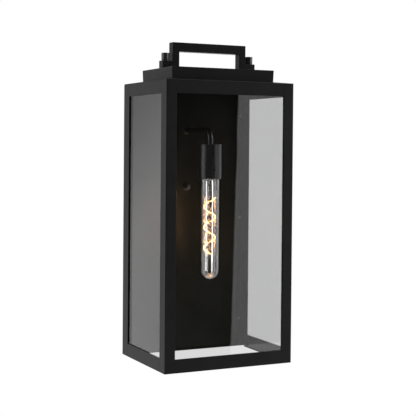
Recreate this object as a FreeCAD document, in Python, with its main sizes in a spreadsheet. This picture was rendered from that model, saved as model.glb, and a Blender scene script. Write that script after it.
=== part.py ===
import FreeCAD, Part
import math
import os
import Sketcher

# Outdoor wall lantern.  +X to the right, +Y into the wall, +Z up, millimetres.
# The wall is the plane y = 0 and the origin is the centre of the mounting bracket on it.

doc = FreeCAD.newDocument("OutdoorWallLantern")
sheet = doc.addObject("Spreadsheet::Sheet", "Sizes")
nodes = []
next_row = 1


class Size:
    """A number together with the sheet formula that gives it."""

    def __init__(self, value, formula):
        self.value = float(value)
        self.formula = formula

    def __add__(self, other):
        other = as_size(other)
        return Size(self.value + other.value, f"({self.formula} + {other.formula})")

    def __sub__(self, other):
        other = as_size(other)
        return Size(self.value - other.value, f"({self.formula} - {other.formula})")

    def __mul__(self, other):
        other = as_size(other)
        return Size(self.value * other.value, f"({self.formula} * {other.formula})")

    def __truediv__(self, other):
        other = as_size(other)
        return Size(self.value / other.value, f"({self.formula} / {other.formula})")

    def __neg__(self):
        return Size(-self.value, f"(0 - {self.formula})")

    def __radd__(self, other):
        return as_size(other) + self

    def __rsub__(self, other):
        return as_size(other) - self

    def __rmul__(self, other):
        return as_size(other) * self


def as_size(number):
    if isinstance(number, Size):
        return number
    return Size(number, f"({number})" if number < 0 else f"{number}")


def dimension(alias, value):
    """Put one driving dimension in the sheet and return it."""
    global next_row
    sheet.set(f"A{next_row}", alias)
    sheet.set(f"B{next_row}", f"{value}")
    sheet.setAlias(f"B{next_row}", alias)
    next_row += 1
    return Size(value, f"Sizes.{alias}")


# ---- driving dimensions ----

body_width = dimension("body_width", 240.0)
body_depth = dimension("body_depth", 188.0)
body_height = dimension("body_height", 484.0)
mount_height = dimension("mount_height", 300.0)
frame_thickness = dimension("frame_thickness", 1.5)
front_post_width = dimension("front_post_width", 18.7)
side_post_width = dimension("side_post_width", 22.0)
rear_post_width = dimension("rear_post_width", 24.5)
top_rail_height = dimension("top_rail_height", 22.5)
bottom_rail_height = dimension("bottom_rail_height", 23.0)
corner_radius = dimension("corner_radius", 1.5)
ledge_reach = dimension("ledge_reach", 4.5)
sheet_thickness = dimension("sheet_thickness", 1.5)
recess_depth = dimension("recess_depth", 7.5)
flange_width = dimension("flange_width", 15.0)
rear_return = dimension("rear_return", 3.0)

glass_thickness = dimension("glass_thickness", 3.0)
tape_thickness = dimension("tape_thickness", 0.5)
glass_edge_gap = dimension("glass_edge_gap", 0.7)
glass_top_margin = dimension("glass_top_margin", 7.0)
glass_rear_cover = dimension("glass_rear_cover", 4.0)
retainer_sheet = dimension("retainer_sheet", 1.2)
retainer_cover = dimension("retainer_cover", 12.0)
retainer_foot = dimension("retainer_foot", 10.0)
retainer_screw_pitch = dimension("retainer_screw_pitch", 190.0)
small_screw_radius = dimension("small_screw_radius", 1.5)
small_head_radius = dimension("small_head_radius", 2.8)
small_head_height = dimension("small_head_height", 1.6)
clearance = dimension("clearance", 0.15)

roof_edge = dimension("roof_edge", 2.0)
roof_rise = dimension("roof_rise", 3.5)
cap_width = dimension("cap_width", 193.0)
cap_depth = dimension("cap_depth", 128.0)
cap_height = dimension("cap_height", 20.0)
cap_flare = dimension("cap_flare", 0.6)
cap_wall = dimension("cap_wall", 2.0)
cap_edge = dimension("cap_edge", 0.8)
cap_boss_radius = dimension("cap_boss_radius", 4.0)
cap_screw_across = dimension("cap_screw_across", 160.0)
cap_screw_along = dimension("cap_screw_along", 90.0)

handle_width = dimension("handle_width", 142.0)
handle_leg = dimension("handle_leg", 12.7)
handle_bar = dimension("handle_bar", 15.7)
handle_depth = dimension("handle_depth", 16.0)
handle_rise = dimension("handle_rise", 46.0)
handle_edge = dimension("handle_edge", 0.7)
foot_reach = dimension("foot_reach", 18.8)
foot_height = dimension("foot_height", 14.0)
foot_stud_spacing = dimension("foot_stud_spacing", 163.0)
thumb_radius = dimension("thumb_radius", 6.9)
thumb_height = dimension("thumb_height", 12.6)
thumb_edge = dimension("thumb_edge", 0.6)
blind_end = dimension("blind_end", 2.0)
thumb_washer_radius = dimension("thumb_washer_radius", 6.3)
washer_thickness = dimension("washer_thickness", 1.0)
stud_radius = dimension("stud_radius", 3.0)
thread_gap = dimension("thread_gap", 0.05)
nut_across_flats = dimension("nut_across_flats", 10.0)
nut_height = dimension("nut_height", 5.0)
jam_nut_height = dimension("jam_nut_height", 3.0)
lamp_nut_across_flats = dimension("lamp_nut_across_flats", 16.0)

arm_height = dimension("arm_height", 103.0)
arm_reach = dimension("arm_reach", 106.0)
arm_bend = dimension("arm_bend", 18.0)
pipe_radius = dimension("pipe_radius", 5.0)
pipe_bore_radius = dimension("pipe_bore_radius", 3.5)
cup_radius = dimension("cup_radius", 19.5)
cup_length = dimension("cup_length", 60.0)
cup_top = dimension("cup_top", 78.0)
cup_wall = dimension("cup_wall", 1.2)
cup_edge = dimension("cup_edge", 1.0)
wire_radius = dimension("wire_radius", 1.0)
wire_offset = dimension("wire_offset", 1.3)
wire_bend = dimension("wire_bend", 4.5)

holder_radius = dimension("holder_radius", 17.0)
holder_length = dimension("holder_length", 42.0)
holder_floor = dimension("holder_floor", 58.0)
holder_gap = dimension("holder_gap", 0.2)
pipe_grip = dimension("pipe_grip", 7.0)
contact_radius = dimension("contact_radius", 4.0)
contact_sheet = dimension("contact_sheet", 0.6)
contact_gap = dimension("contact_gap", 1.4)
screw_pitch = dimension("screw_pitch", 3.629)
base_crest = dimension("base_crest", 12.95)
thread_depth = dimension("thread_depth", 0.55)
shell_thickness = dimension("shell_thickness", 0.4)
base_bottom = dimension("base_bottom", 30.0)
base_collar_radius = dimension("base_collar_radius", 9.0)
base_collar_drop = dimension("base_collar_drop", 3.2)
foot_contact_height = dimension("foot_contact_height", 0.8)

bulb_radius = dimension("bulb_radius", 16.0)
bulb_neck_radius = dimension("bulb_neck_radius", 11.4)
bulb_wall = dimension("bulb_wall", 0.9)
bulb_length = dimension("bulb_length", 215.6)
bulb_neck_length = dimension("bulb_neck_length", 16.0)
filament_radius = dimension("filament_radius", 10.0)
filament_pitch = dimension("filament_pitch", 35.8)
filament_length = dimension("filament_length", 101.0)
filament_top = dimension("filament_top", 14.9)
filament_wire = dimension("filament_wire", 0.75)
filament_start = dimension("filament_start", -14.0)
support_wire = dimension("support_wire", 0.3)
stem_rod_radius = dimension("stem_rod_radius", 1.1)
stem_press_radius = dimension("stem_press_radius", 3.0)
stem_press_bottom = dimension("stem_press_bottom", -2.0)
stem_rod_bottom = dimension("stem_rod_bottom", -122.0)

bracket_length = dimension("bracket_length", 120.0)
bracket_width = dimension("bracket_width", 22.0)
bracket_thickness = dimension("bracket_thickness", 2.0)
slot_spacing = dimension("slot_spacing", 88.9)
slot_length = dimension("slot_length", 16.0)
slot_radius = dimension("slot_radius", 2.3)
cap_nut_radius = dimension("cap_nut_radius", 6.0)
cap_nut_length = dimension("cap_nut_length", 10.0)
gasket_width = dimension("gasket_width", 12.0)
gasket_inset = dimension("gasket_inset", 2.0)
ground_screw_x = dimension("ground_screw_x", 22.0)
ground_screw_radius = dimension("ground_screw_radius", 2.0)
terminal_width = dimension("terminal_width", 28.0)
terminal_height = dimension("terminal_height", 18.0)
terminal_depth = dimension("terminal_depth", 15.0)
terminal_gap = dimension("terminal_gap", 6.0)
terminal_spacing = dimension("terminal_spacing", 14.0)

# ---- levels and distances that follow from them ----

half_width = body_width / 2
bottom = -mount_height
top = body_height - mount_height
frame_top = top - roof_edge
front = -body_depth
centre_y = -(body_depth / 2)
inner_x = half_width - frame_thickness
opening_x = half_width - front_post_width
opening_top = top - top_rail_height
opening_bottom = bottom + bottom_rail_height
side_opening_front = front + side_post_width
side_opening_rear = -rear_post_width
frame_back = front + frame_thickness
wall_back = -recess_depth
wall_front = wall_back - sheet_thickness
roof_flat = top + roof_rise
cap_top = roof_flat + cap_height
foot_top = cap_top + foot_height
glass_bottom = bottom + roof_edge
glass_top = frame_top - glass_top_margin
front_glass_back = frame_back + tape_thickness + glass_thickness
side_glass_inner = inner_x - tape_thickness - glass_thickness
front_glass_x = side_glass_inner - glass_edge_gap
side_glass_front = front_glass_back + glass_edge_gap
side_glass_rear = side_opening_rear + glass_rear_cover
lamp_y = -arm_reach
holder_top = cup_top - cup_edge * 2 - jam_nut_height - holder_gap
cup_mouth = cup_top - cup_length
bulb_foot = holder_floor - contact_gap
bulb_tip = bulb_foot - bulb_length
stud_x = foot_stud_spacing / 2
retainer_screw_x = side_glass_inner - retainer_foot * 0.6
flange_back = wall_back + sheet_thickness
clearance_radius = small_screw_radius + clearance
terminal_low = bracket_width / 2 + terminal_gap
terminal_top = terminal_low + terminal_height
PAST = 1.0  # how far a cutting tool starts outside the surface it cuts
SPIRAL_STEPS_PER_TURN = 16
HOOKED_TURNS = (0.22, 1.22, 2.22)  # turns below the filament's upper end, behind the rod


# ---- building blocks ----

def bind(thing, prop, size):
    """Give a property its value and the sheet formula that drives it."""
    thing.setExpression(prop, as_size(size).formula)


def place(thing, x=0, y=0, z=0):
    """Move an object to a point whose coordinates follow the sheet."""
    bind(thing, "Placement.Base.x", x)
    bind(thing, "Placement.Base.y", y)
    bind(thing, "Placement.Base.z", z)


def keep(thing, label):
    """Make an object one of the lantern's pieces."""
    thing.Label = label
    nodes.append(thing)
    return thing


def box(name, x_range, y_range, z_range):
    """Part::Box between pairs of coordinates."""
    piece = doc.addObject("Part::Box", name)
    for prop, (low, high) in zip(("Length", "Width", "Height"), (x_range, y_range, z_range)):
        bind(piece, prop, as_size(high) - low)
    place(piece, x_range[0], y_range[0], z_range[0])
    return piece


TURNS = {
    "+Z": FreeCAD.Rotation(),
    "-Y": FreeCAD.Rotation(FreeCAD.Vector(1, 0, 0), 90),
    "+X": FreeCAD.Rotation(FreeCAD.Vector(0, 1, 0), 90),
    "-X": FreeCAD.Rotation(FreeCAD.Vector(0, 1, 0), -90),
}


def cylinder(name, radius, length, x, y, z, along="+Z"):
    """Part::Cylinder that starts at a point and runs along one axis."""
    piece = doc.addObject("Part::Cylinder", name)
    piece.Placement = FreeCAD.Placement(FreeCAD.Vector(), TURNS[along])
    bind(piece, "Radius", radius)
    bind(piece, "Height", length)
    place(piece, x, y, z)
    return piece


def cone(name, radius_low, radius_high, height, x, y, z, along="+Z"):
    piece = doc.addObject("Part::Cone", name)
    piece.Placement = FreeCAD.Placement(FreeCAD.Vector(), TURNS[along])
    bind(piece, "Radius1", radius_low)
    bind(piece, "Radius2", radius_high)
    bind(piece, "Height", height)
    place(piece, x, y, z)
    return piece


def prism(name, across_flats, height, x, y, z, along="+Z"):
    """Hexagonal bar: the blank of a nut."""
    piece = doc.addObject("Part::Prism", name)
    piece.Polygon = 6
    piece.Placement = FreeCAD.Placement(FreeCAD.Vector(), TURNS[along])
    bind(piece, "Circumradius", across_flats / 1.7320508)
    bind(piece, "Height", height)
    place(piece, x, y, z)
    return piece


def fuse(name, pieces):
    joined = doc.addObject("Part::MultiFuse", name)
    joined.Shapes = pieces
    return joined


def group(name, pieces):
    """Several separate solids that make one node."""
    joined = doc.addObject("Part::Compound", name)
    joined.Links = pieces
    return joined


def cut(name, base, tools):
    """Take one or more tools out of a base."""
    result = doc.addObject("Part::Cut", name)
    result.Base = base
    result.Tool = tools[0] if len(tools) == 1 else group(f"{name}_tools", tools)
    return result


def origin_plane(body, role):
    return [plane for plane in body.Origin.OriginFeatures if plane.Role == role][0]


def pin_point(sketch, geometry, end, name, point):
    """Hold one end of a sketch line at coordinates from the sheet."""
    for kind, letter, size in (("DistanceX", "x", point[0]), ("DistanceY", "y", point[1])):
        size = as_size(size)
        index = sketch.addConstraint(Sketcher.Constraint(kind, -1, 1, geometry, end, size.value))
        label = f"{name}_{letter}"
        sketch.renameConstraint(index, label)
        sketch.setExpression(f"Constraints.{label}", size.formula)


def vector(point):
    return FreeCAD.Vector(as_size(point[0]).value, as_size(point[1]).value, 0)


def add_outline(sketch, points, prefix="corner"):
    """Closed outline of straight lines through points that follow the sheet."""
    first = sketch.GeometryCount
    count = len(points)
    for index, point in enumerate(points):
        sketch.addGeometry(Part.LineSegment(vector(point), vector(points[(index + 1) % count])), False)
    for index, point in enumerate(points):
        following = first + (index + 1) % count
        sketch.addConstraint(Sketcher.Constraint("Coincident", first + index, 2, following, 1))
        pin_point(sketch, first + index, 1, f"{prefix}{index}", point)


def new_sketch(body, role, name, offset=0):
    """Sketch on one of the body's origin planes, moved along the plane's normal."""
    sketch = body.newObject("Sketcher::SketchObject", name)
    sketch.AttachmentSupport = (origin_plane(body, role), [""])
    sketch.MapMode = "FlatFace"
    bind(sketch, "AttachmentOffset.Base.z", offset)
    return sketch


def rectangle(half_x, half_y):
    return [(-half_x, -half_y), (half_x, -half_y), (half_x, half_y), (-half_x, half_y)]


def padded(name, role, points, length, holes=()):
    """PartDesign body: an outline, with any windows in it, padded along the plane's normal."""
    body = doc.addObject("PartDesign::Body", name)
    sketch = new_sketch(body, role, f"{name}_outline")
    add_outline(sketch, points)
    for index, hole in enumerate(holes):
        add_outline(sketch, hole, f"window{index}_")
    pad = body.newObject("PartDesign::Pad", f"{name}_pad")
    pad.Profile = sketch
    bind(pad, "Length", length)
    return body


def turned(name, points):
    """PartDesign body: a half outline (radius, height) turned about the vertical axis."""
    body = doc.addObject("PartDesign::Body", name)
    sketch = new_sketch(body, "XZ_Plane", f"{name}_profile")
    add_outline(sketch, points)
    turn = body.newObject("PartDesign::Revolution", f"{name}_turn")
    turn.Profile = sketch
    turn.ReferenceAxis = (sketch, ["V_Axis"])
    turn.Angle = 360
    return body


def soften(body, prop_class, name, size, wanted):
    """Fillet or chamfer the body's edges that the test picks."""
    doc.recompute()
    tip = body.Tip
    picked = [f"Edge{i + 1}" for i, edge in enumerate(tip.Shape.Edges) if wanted(edge)]
    feature = body.newObject(prop_class, name)
    feature.Base = (tip, picked)
    bind(feature, "Radius" if prop_class.endswith("Fillet") else "Size", size)
    return body


def is_vertical(edge):
    ends = [vertex.Point for vertex in edge.Vertexes]
    return len(ends) == 2 and abs(ends[0].x - ends[1].x) < 0.01 and abs(ends[0].y - ends[1].y) < 0.01


def stands_at(edge, place_xy):
    """True for a vertical edge at a point of the plan."""
    point = edge.Vertexes[0].Point
    return is_vertical(edge) and math.hypot(point.x - place_xy[0], point.y - place_xy[1]) < 0.02


def routed(name, profile_role, start, outer, corners, bore=None):
    """Tube or wire swept in the Y-Z plane along straight runs joined by tangent arcs.

    corners: list of (y, z) points after the start; each but the last carries its arc's radius.
    """
    body = doc.addObject("PartDesign::Body", name)
    path = new_sketch(body, "YZ_Plane", f"{name}_path")
    points = [start] + [(corner[0], corner[1]) for corner in corners]
    radii = [corner[2] for corner in corners[:-1]]
    runs = []
    for index in range(len(points) - 1):
        runs.append([points[index], points[index + 1]])
    steps = []
    for begin, end in runs:
        along_y = as_size(end[0]).value - as_size(begin[0]).value
        along_z = as_size(end[1]).value - as_size(begin[1]).value
        length = abs(along_y) + abs(along_z)
        steps.append((round(along_y / length), round(along_z / length)))
    for index, radius in enumerate(radii):
        corner = points[index + 1]
        before = steps[index]
        after = steps[index + 1]
        runs[index][1] = (corner[0] - radius * before[0], corner[1] - radius * before[1])
        runs[index + 1][0] = (corner[0] + radius * after[0], corner[1] + radius * after[1])
    lines = []
    for index, (begin, end) in enumerate(runs):
        line = sketch_line(path, begin, end)
        pin_point(path, line, 1, f"run{index}_start", begin)
        pin_point(path, line, 2, f"run{index}_end", end)
        lines.append(line)
    for index, radius in enumerate(radii):
        add_corner_arc(path, lines[index], lines[index + 1], runs[index][1], runs[index + 1][0],
                       steps[index], steps[index + 1], radius, f"bend{index}")
    profile = new_sketch(body, profile_role[0], f"{name}_profile", profile_role[1])
    add_circle(profile, profile_role[2], outer, "outer")
    if bore is not None:
        add_circle(profile, profile_role[2], bore, "bore")
    doc.recompute()
    sweep = body.newObject("PartDesign::AdditivePipe", f"{name}_sweep")
    sweep.Profile = profile
    sweep.Spine = (path, [f"Edge{i + 1}" for i in range(path.GeometryCount)])
    return body


def sketch_line(sketch, begin, end):
    return sketch.addGeometry(Part.LineSegment(vector(begin), vector(end)), False)


def add_circle(sketch, centre, radius, name):
    circle = Part.Circle(vector(centre), FreeCAD.Vector(0, 0, 1), as_size(radius).value)
    index = sketch.addGeometry(circle, False)
    pin_point(sketch, index, 3, f"{name}_centre", centre)
    constraint = sketch.addConstraint(Sketcher.Constraint("Radius", index, as_size(radius).value))
    sketch.renameConstraint(constraint, f"{name}_radius")
    sketch.setExpression(f"Constraints.{name}_radius", as_size(radius).formula)


def add_corner_arc(sketch, line_in, line_out, begin, end, before, after, radius, name):
    """Quarter-circle arc between the end of one line and the start of the next."""
    begin = vector(begin)
    end = vector(end)
    size = as_size(radius)
    centre = begin + FreeCAD.Vector(after[0], after[1], 0) * size.value
    turns_left = before[0] * after[1] - before[1] * after[0] > 0
    first, last = (begin, end) if turns_left else (end, begin)
    angle = math.atan2(first.y - centre.y, first.x - centre.x)
    circle = Part.Circle(centre, FreeCAD.Vector(0, 0, 1), size.value)
    arc = sketch.addGeometry(Part.ArcOfCircle(circle, angle, angle + math.pi / 2), False)
    arc_in, arc_out = (1, 2) if turns_left else (2, 1)
    sketch.addConstraint(Sketcher.Constraint("Coincident", line_in, 2, arc, arc_in))
    sketch.addConstraint(Sketcher.Constraint("Coincident", arc, arc_out, line_out, 1))
    constraint = sketch.addConstraint(Sketcher.Constraint("Radius", arc, size.value))
    sketch.renameConstraint(constraint, name)
    sketch.setExpression(f"Constraints.{name}", size.formula)


def sides():
    """Name and sign of the left and right halves."""
    return (("left", -1), ("right", 1))


# ---- glazed frame ----

def retainer_screw_levels():
    middle = (opening_top + opening_bottom) / 2
    return [middle - retainer_screw_pitch, middle, middle + retainer_screw_pitch]


def front_posts():
    """L-section corner posts, the outer edge rounded."""
    for side, sign in sides():
        points = [
            (half_width * sign, front),
            (opening_x * sign, front),
            (opening_x * sign, frame_back),
            (inner_x * sign, frame_back),
            (inner_x * sign, side_opening_front),
            (half_width * sign, side_opening_front),
        ]
        body = padded(f"front_{side}_post", "XY_Plane", points, frame_top - bottom)
        corner = (half_width.value * sign, front.value)
        soften(body, "PartDesign::Fillet", f"front_{side}_post_round", corner_radius,
               lambda edge: stands_at(edge, corner))
        place(body, 0, 0, bottom)
        keep(body, f"front_{side}_post")


def rear_posts():
    """Flat posts with a flange behind the rear wall, drilled for the retainer screws."""
    for side, sign in sides():
        flange_x = inner_x - flange_width
        points = [
            (half_width * sign, side_opening_rear),
            (inner_x * sign, side_opening_rear),
            (inner_x * sign, wall_back),
            (flange_x * sign, wall_back),
            (flange_x * sign, flange_back),
            (inner_x * sign, flange_back),
            (inner_x * sign, 0),
            (half_width * sign, 0),
        ]
        body = padded(f"rear_{side}_post_bar", "XY_Plane", points, frame_top - bottom)
        place(body, 0, 0, bottom)
        holes = []
        for index, level in enumerate(retainer_screw_levels()):
            holes.append(cylinder(f"rear_{side}_post_hole{index}", small_screw_radius + thread_gap,
                                  sheet_thickness + PAST * 2, retainer_screw_x * sign,
                                  flange_back + PAST, level, "-Y"))
        keep(cut(f"rear_{side}_post", body, holes), f"rear_{side}_post")


def top_rails():
    keep(box("front_top_rail", (-opening_x, opening_x), (front, frame_back), (opening_top, frame_top)),
         "front_top_rail")
    for side, sign in sides():
        low, high = (inner_x, half_width) if sign > 0 else (-half_width, -inner_x)
        rail = box(f"{side}_top_rail", (low, high), (side_opening_front, side_opening_rear),
                   (opening_top, frame_top))
        keep(rail, f"{side}_top_rail")


def bottom_rails():
    """L-section rails: the ledge at the foot carries the glass."""
    ledge_top = bottom + roof_edge
    front_points = [
        (front, bottom),
        (frame_back + ledge_reach, bottom),
        (frame_back + ledge_reach, ledge_top),
        (frame_back, ledge_top),
        (frame_back, opening_bottom),
        (front, opening_bottom),
    ]
    rail = padded("front_bottom_rail", "YZ_Plane", front_points, opening_x * 2)
    place(rail, -opening_x)
    keep(rail, "front_bottom_rail")
    for side, sign in sides():
        ledge_x = inner_x - ledge_reach
        points = [
            (half_width * sign, bottom),
            (ledge_x * sign, bottom),
            (ledge_x * sign, ledge_top),
            (inner_x * sign, ledge_top),
            (inner_x * sign, opening_bottom),
            (half_width * sign, opening_bottom),
        ]
        rail = padded(f"{side}_bottom_rail", "XZ_Plane", points, side_opening_rear - side_opening_front)
        place(rail, 0, side_opening_rear, 0)
        keep(rail, f"{side}_bottom_rail")


def rear_wall():
    """Sheet with a short return along its foot and holes for the pipe, the stud and the screws."""
    points = [
        (wall_back, bottom),
        (wall_back, frame_top),
        (wall_front, frame_top),
        (wall_front, bottom + sheet_thickness),
        (wall_front - rear_return, bottom + sheet_thickness),
        (wall_front - rear_return, bottom),
    ]
    panel = padded("rear_wall_sheet", "YZ_Plane", points, inner_x * 2)
    place(panel, -inner_x)
    depth = sheet_thickness + PAST * 2
    start = wall_back + PAST
    holes = [
        cylinder("rear_wall_pipe_hole", pipe_radius + thread_gap, depth, 0, start, arm_height, "-Y"),
        cylinder("rear_wall_stud_hole", stud_radius + clearance * 2, depth, 0, start, 0, "-Y"),
    ]
    for side, sign in sides():
        for index, level in enumerate(retainer_screw_levels()):
            holes.append(cylinder(f"rear_wall_{side}_hole{index}", clearance_radius, depth,
                                  retainer_screw_x * sign, start, level, "-Y"))
    keep(cut("rear_wall", panel, holes), "rear_wall")


def rear_strips():
    """Strips behind the rear wall that carry the gasket above and stiffen the foot."""
    reach = inner_x - flange_width
    across = (-reach, reach)
    along = (wall_back, flange_back)
    keep(box("rear_top_strip", across, along, (frame_top - flange_width, frame_top)), "rear_top_strip")
    keep(box("rear_bottom_strip", across, along, (bottom, bottom + flange_width)), "rear_bottom_strip")


# ---- glazing ----

def glass_panes():
    front_pane = box("front_glass", (-front_glass_x, front_glass_x),
                     (frame_back + tape_thickness, front_glass_back), (glass_bottom, glass_top))
    keep(front_pane, "front_glass")
    for side, sign in sides():
        outer = inner_x - tape_thickness
        low, high = (side_glass_inner, outer) if sign > 0 else (-outer, -side_glass_inner)
        pane = box(f"{side}_glass", (low, high), (side_glass_front, side_glass_rear),
                   (glass_bottom, glass_top))
        keep(pane, f"{side}_glass")


def glass_gaskets():
    """Thin tape between the frame and the glass, one window-shaped piece to a pane."""
    outer = [(-front_glass_x, glass_bottom), (front_glass_x, glass_bottom),
             (front_glass_x, glass_top), (-front_glass_x, glass_top)]
    window = [(-opening_x, opening_bottom), (opening_x, opening_bottom),
              (opening_x, opening_top), (-opening_x, opening_top)]
    tape = padded("front_glass_gasket", "XZ_Plane", outer, tape_thickness, [window])
    place(tape, 0, frame_back + tape_thickness, 0)
    keep(tape, "front_glass_gasket")
    for side, sign in sides():
        outer = [(side_glass_front, glass_bottom), (side_glass_rear, glass_bottom),
                 (side_glass_rear, glass_top), (side_glass_front, glass_top)]
        window = [(side_opening_front, opening_bottom), (side_opening_rear, opening_bottom),
                  (side_opening_rear, opening_top), (side_opening_front, opening_top)]
        tape = padded(f"{side}_glass_gasket", "YZ_Plane", outer, tape_thickness, [window])
        place(tape, inner_x - tape_thickness if sign > 0 else -inner_x)
        keep(tape, f"{side}_glass_gasket")


def front_retainers():
    """Angles that hold the front glass and the front edges of the side panes."""
    for side, sign in sides():
        corner_x = side_glass_inner
        points = [
            (corner_x * sign, front_glass_back),
            ((opening_x + clearance) * sign, front_glass_back),
            ((opening_x + clearance) * sign, front_glass_back + retainer_sheet),
            ((corner_x - retainer_sheet) * sign, front_glass_back + retainer_sheet),
            ((corner_x - retainer_sheet) * sign, side_opening_front),
            (corner_x * sign, side_opening_front),
        ]
        angle = padded(f"front_{side}_retainer", "XY_Plane", points, frame_top - glass_bottom)
        place(angle, 0, 0, glass_bottom)
        keep(angle, f"front_{side}_retainer")


def rear_retainers():
    """Angles screwed to the rear wall, with a leg over the rear edge of each side pane."""
    foot_front = wall_front - retainer_sheet
    foot_x = side_glass_inner - retainer_foot
    leg_x = side_glass_inner - retainer_sheet
    leg_front = side_opening_rear - retainer_cover
    for side, sign in sides():
        points = [
            (side_glass_inner * sign, wall_front),
            (foot_x * sign, wall_front),
            (foot_x * sign, foot_front),
            (leg_x * sign, foot_front),
            (leg_x * sign, leg_front),
            (side_glass_inner * sign, leg_front),
        ]
        strip = padded(f"{side}_rear_retainer_strip", "XY_Plane", points, glass_top - glass_bottom)
        place(strip, 0, 0, glass_bottom)
        holes = []
        for index, level in enumerate(retainer_screw_levels()):
            holes.append(cylinder(f"{side}_rear_retainer_hole{index}", clearance_radius,
                                  retainer_sheet + PAST * 2, retainer_screw_x * sign,
                                  wall_front + PAST, level, "-Y"))
        keep(cut(f"{side}_rear_retainer", strip, holes), f"{side}_rear_retainer")


def retainer_screws():
    head_seat = wall_front - retainer_sheet
    screws = []
    for side, sign in sides():
        for index, level in enumerate(retainer_screw_levels()):
            name = f"{side}_retainer_screw{index}"
            shank = cylinder(f"{name}_shank", small_screw_radius, flange_back - head_seat,
                             retainer_screw_x * sign, flange_back, level, "-Y")
            head = cone(f"{name}_head", small_head_radius, small_head_radius * 0.8, small_head_height,
                        retainer_screw_x * sign, head_seat, level, "-Y")
            screws.append(fuse(name, [shank, head]))
    keep(group("retainer_screws", screws), "retainer_screws")


# ---- roof, cap and handle ----

def lofted(body, kind, name, low, low_half, high, high_half):
    """Straight-sided loft between two level rectangles of a body."""
    base = new_sketch(body, "XY_Plane", f"{name}_base", low)
    add_outline(base, rectangle(*low_half))
    crown = new_sketch(body, "XY_Plane", f"{name}_crown", high)
    add_outline(crown, rectangle(*high_half))
    loft = body.newObject(kind, name)
    loft.Profile = base
    loft.Sections = [crown]
    loft.Ruled = True
    return loft


def cap_screw_places():
    return [(cap_screw_across / 2 * i, centre_y + cap_screw_along / 2 * j)
            for i in (-1, 1) for j in (-1, 1)]


def roof_plate():
    """Shallow hipped sheet that closes the top, with rounded edges."""
    body = doc.addObject("PartDesign::Body", "roof_sheet")
    half_depth = body_depth / 2
    outline = new_sketch(body, "XY_Plane", "roof_outline")
    add_outline(outline, rectangle(half_width, half_depth))
    slab = body.newObject("PartDesign::Pad", "roof_slab")
    slab.Profile = outline
    bind(slab, "Length", roof_edge)
    lofted(body, "PartDesign::AdditiveLoft", "roof_hip", roof_edge, (half_width, half_depth),
           roof_edge + roof_rise, (cap_width / 2, cap_depth / 2))
    lofted(body, "PartDesign::SubtractiveLoft", "roof_underside", 0,
           (side_glass_inner, half_depth - retainer_cover), roof_rise,
           (cap_width / 2 - retainer_foot / 2, cap_depth / 2 - retainer_foot / 2))
    soften(body, "PartDesign::Fillet", "roof_corners", corner_radius,
           lambda edge: is_vertical(edge) and abs(edge.Vertexes[0].Point.x) > half_width.value - 0.1)
    place(body, 0, centre_y, frame_top)
    holes = []
    for index, (x, y) in enumerate(cap_screw_places()):
        holes.append(cylinder(f"roof_hole{index}", clearance_radius, roof_rise + PAST * 3, x, y,
                              frame_top + PAST))
    keep(cut("roof_plate", body, holes), "roof_plate")


def cap_box():
    """Shallow box on the roof, open below, a little wider at the top, with screw bosses inside."""
    body = doc.addObject("PartDesign::Body", "cap_shell")
    half_x = cap_width / 2
    half_y = cap_depth / 2
    lofted(body, "PartDesign::AdditiveLoft", "cap_outside", 0, (half_x, half_y),
           cap_height, (half_x + cap_flare, half_y + cap_flare))
    lofted(body, "PartDesign::SubtractiveLoft", "cap_inside", 0, (half_x - cap_wall, half_y - cap_wall),
           cap_height - cap_wall, (half_x + cap_flare - cap_wall, half_y + cap_flare - cap_wall))
    bosses = new_sketch(body, "XY_Plane", "cap_boss_outline")
    for index, (x, y) in enumerate(cap_screw_places()):
        add_circle(bosses, (x, y - centre_y), cap_boss_radius, f"boss{index}")
    posts = body.newObject("PartDesign::Pad", "cap_bosses")
    posts.Profile = bosses
    bind(posts, "Length", cap_height - cap_wall / 2)
    soften(body, "PartDesign::Fillet", "cap_corners", cap_edge,
           lambda edge: edge.BoundBox.XMax - edge.BoundBox.XMin < 2 * cap_flare.value
           and abs(edge.Vertexes[0].Point.x) > half_x.value - 0.1
           and edge.Length > cap_height.value - 0.5)
    place(body, 0, centre_y, roof_flat)
    holes = []
    for index, (x, y) in enumerate(cap_screw_places()):
        holes.append(cylinder(f"cap_boss_hole{index}", small_screw_radius + thread_gap,
                              cap_boss_radius * 3, x, y, roof_flat - PAST))
    for side, sign in sides():
        holes.append(cylinder(f"cap_{side}_stud_hole", stud_radius + clearance * 2, cap_wall + PAST * 2,
                              stud_x * sign, centre_y, cap_top - cap_wall - PAST))
    keep(cut("cap_box", body, holes), "cap_box")


def cap_screws():
    screws = []
    head_top = roof_flat - roof_edge
    for index, (x, y) in enumerate(cap_screw_places()):
        shank = cylinder(f"cap_screw{index}_shank", small_screw_radius, cap_boss_radius * 2 + roof_edge,
                         x, y, head_top)
        head = cone(f"cap_screw{index}_head", small_head_radius * 0.8, small_head_radius,
                    small_head_height, x, y, head_top - small_head_height)
        screws.append(fuse(f"cap_screw{index}", [shank, head]))
    keep(group("cap_screws", screws), "cap_screws")


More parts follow.
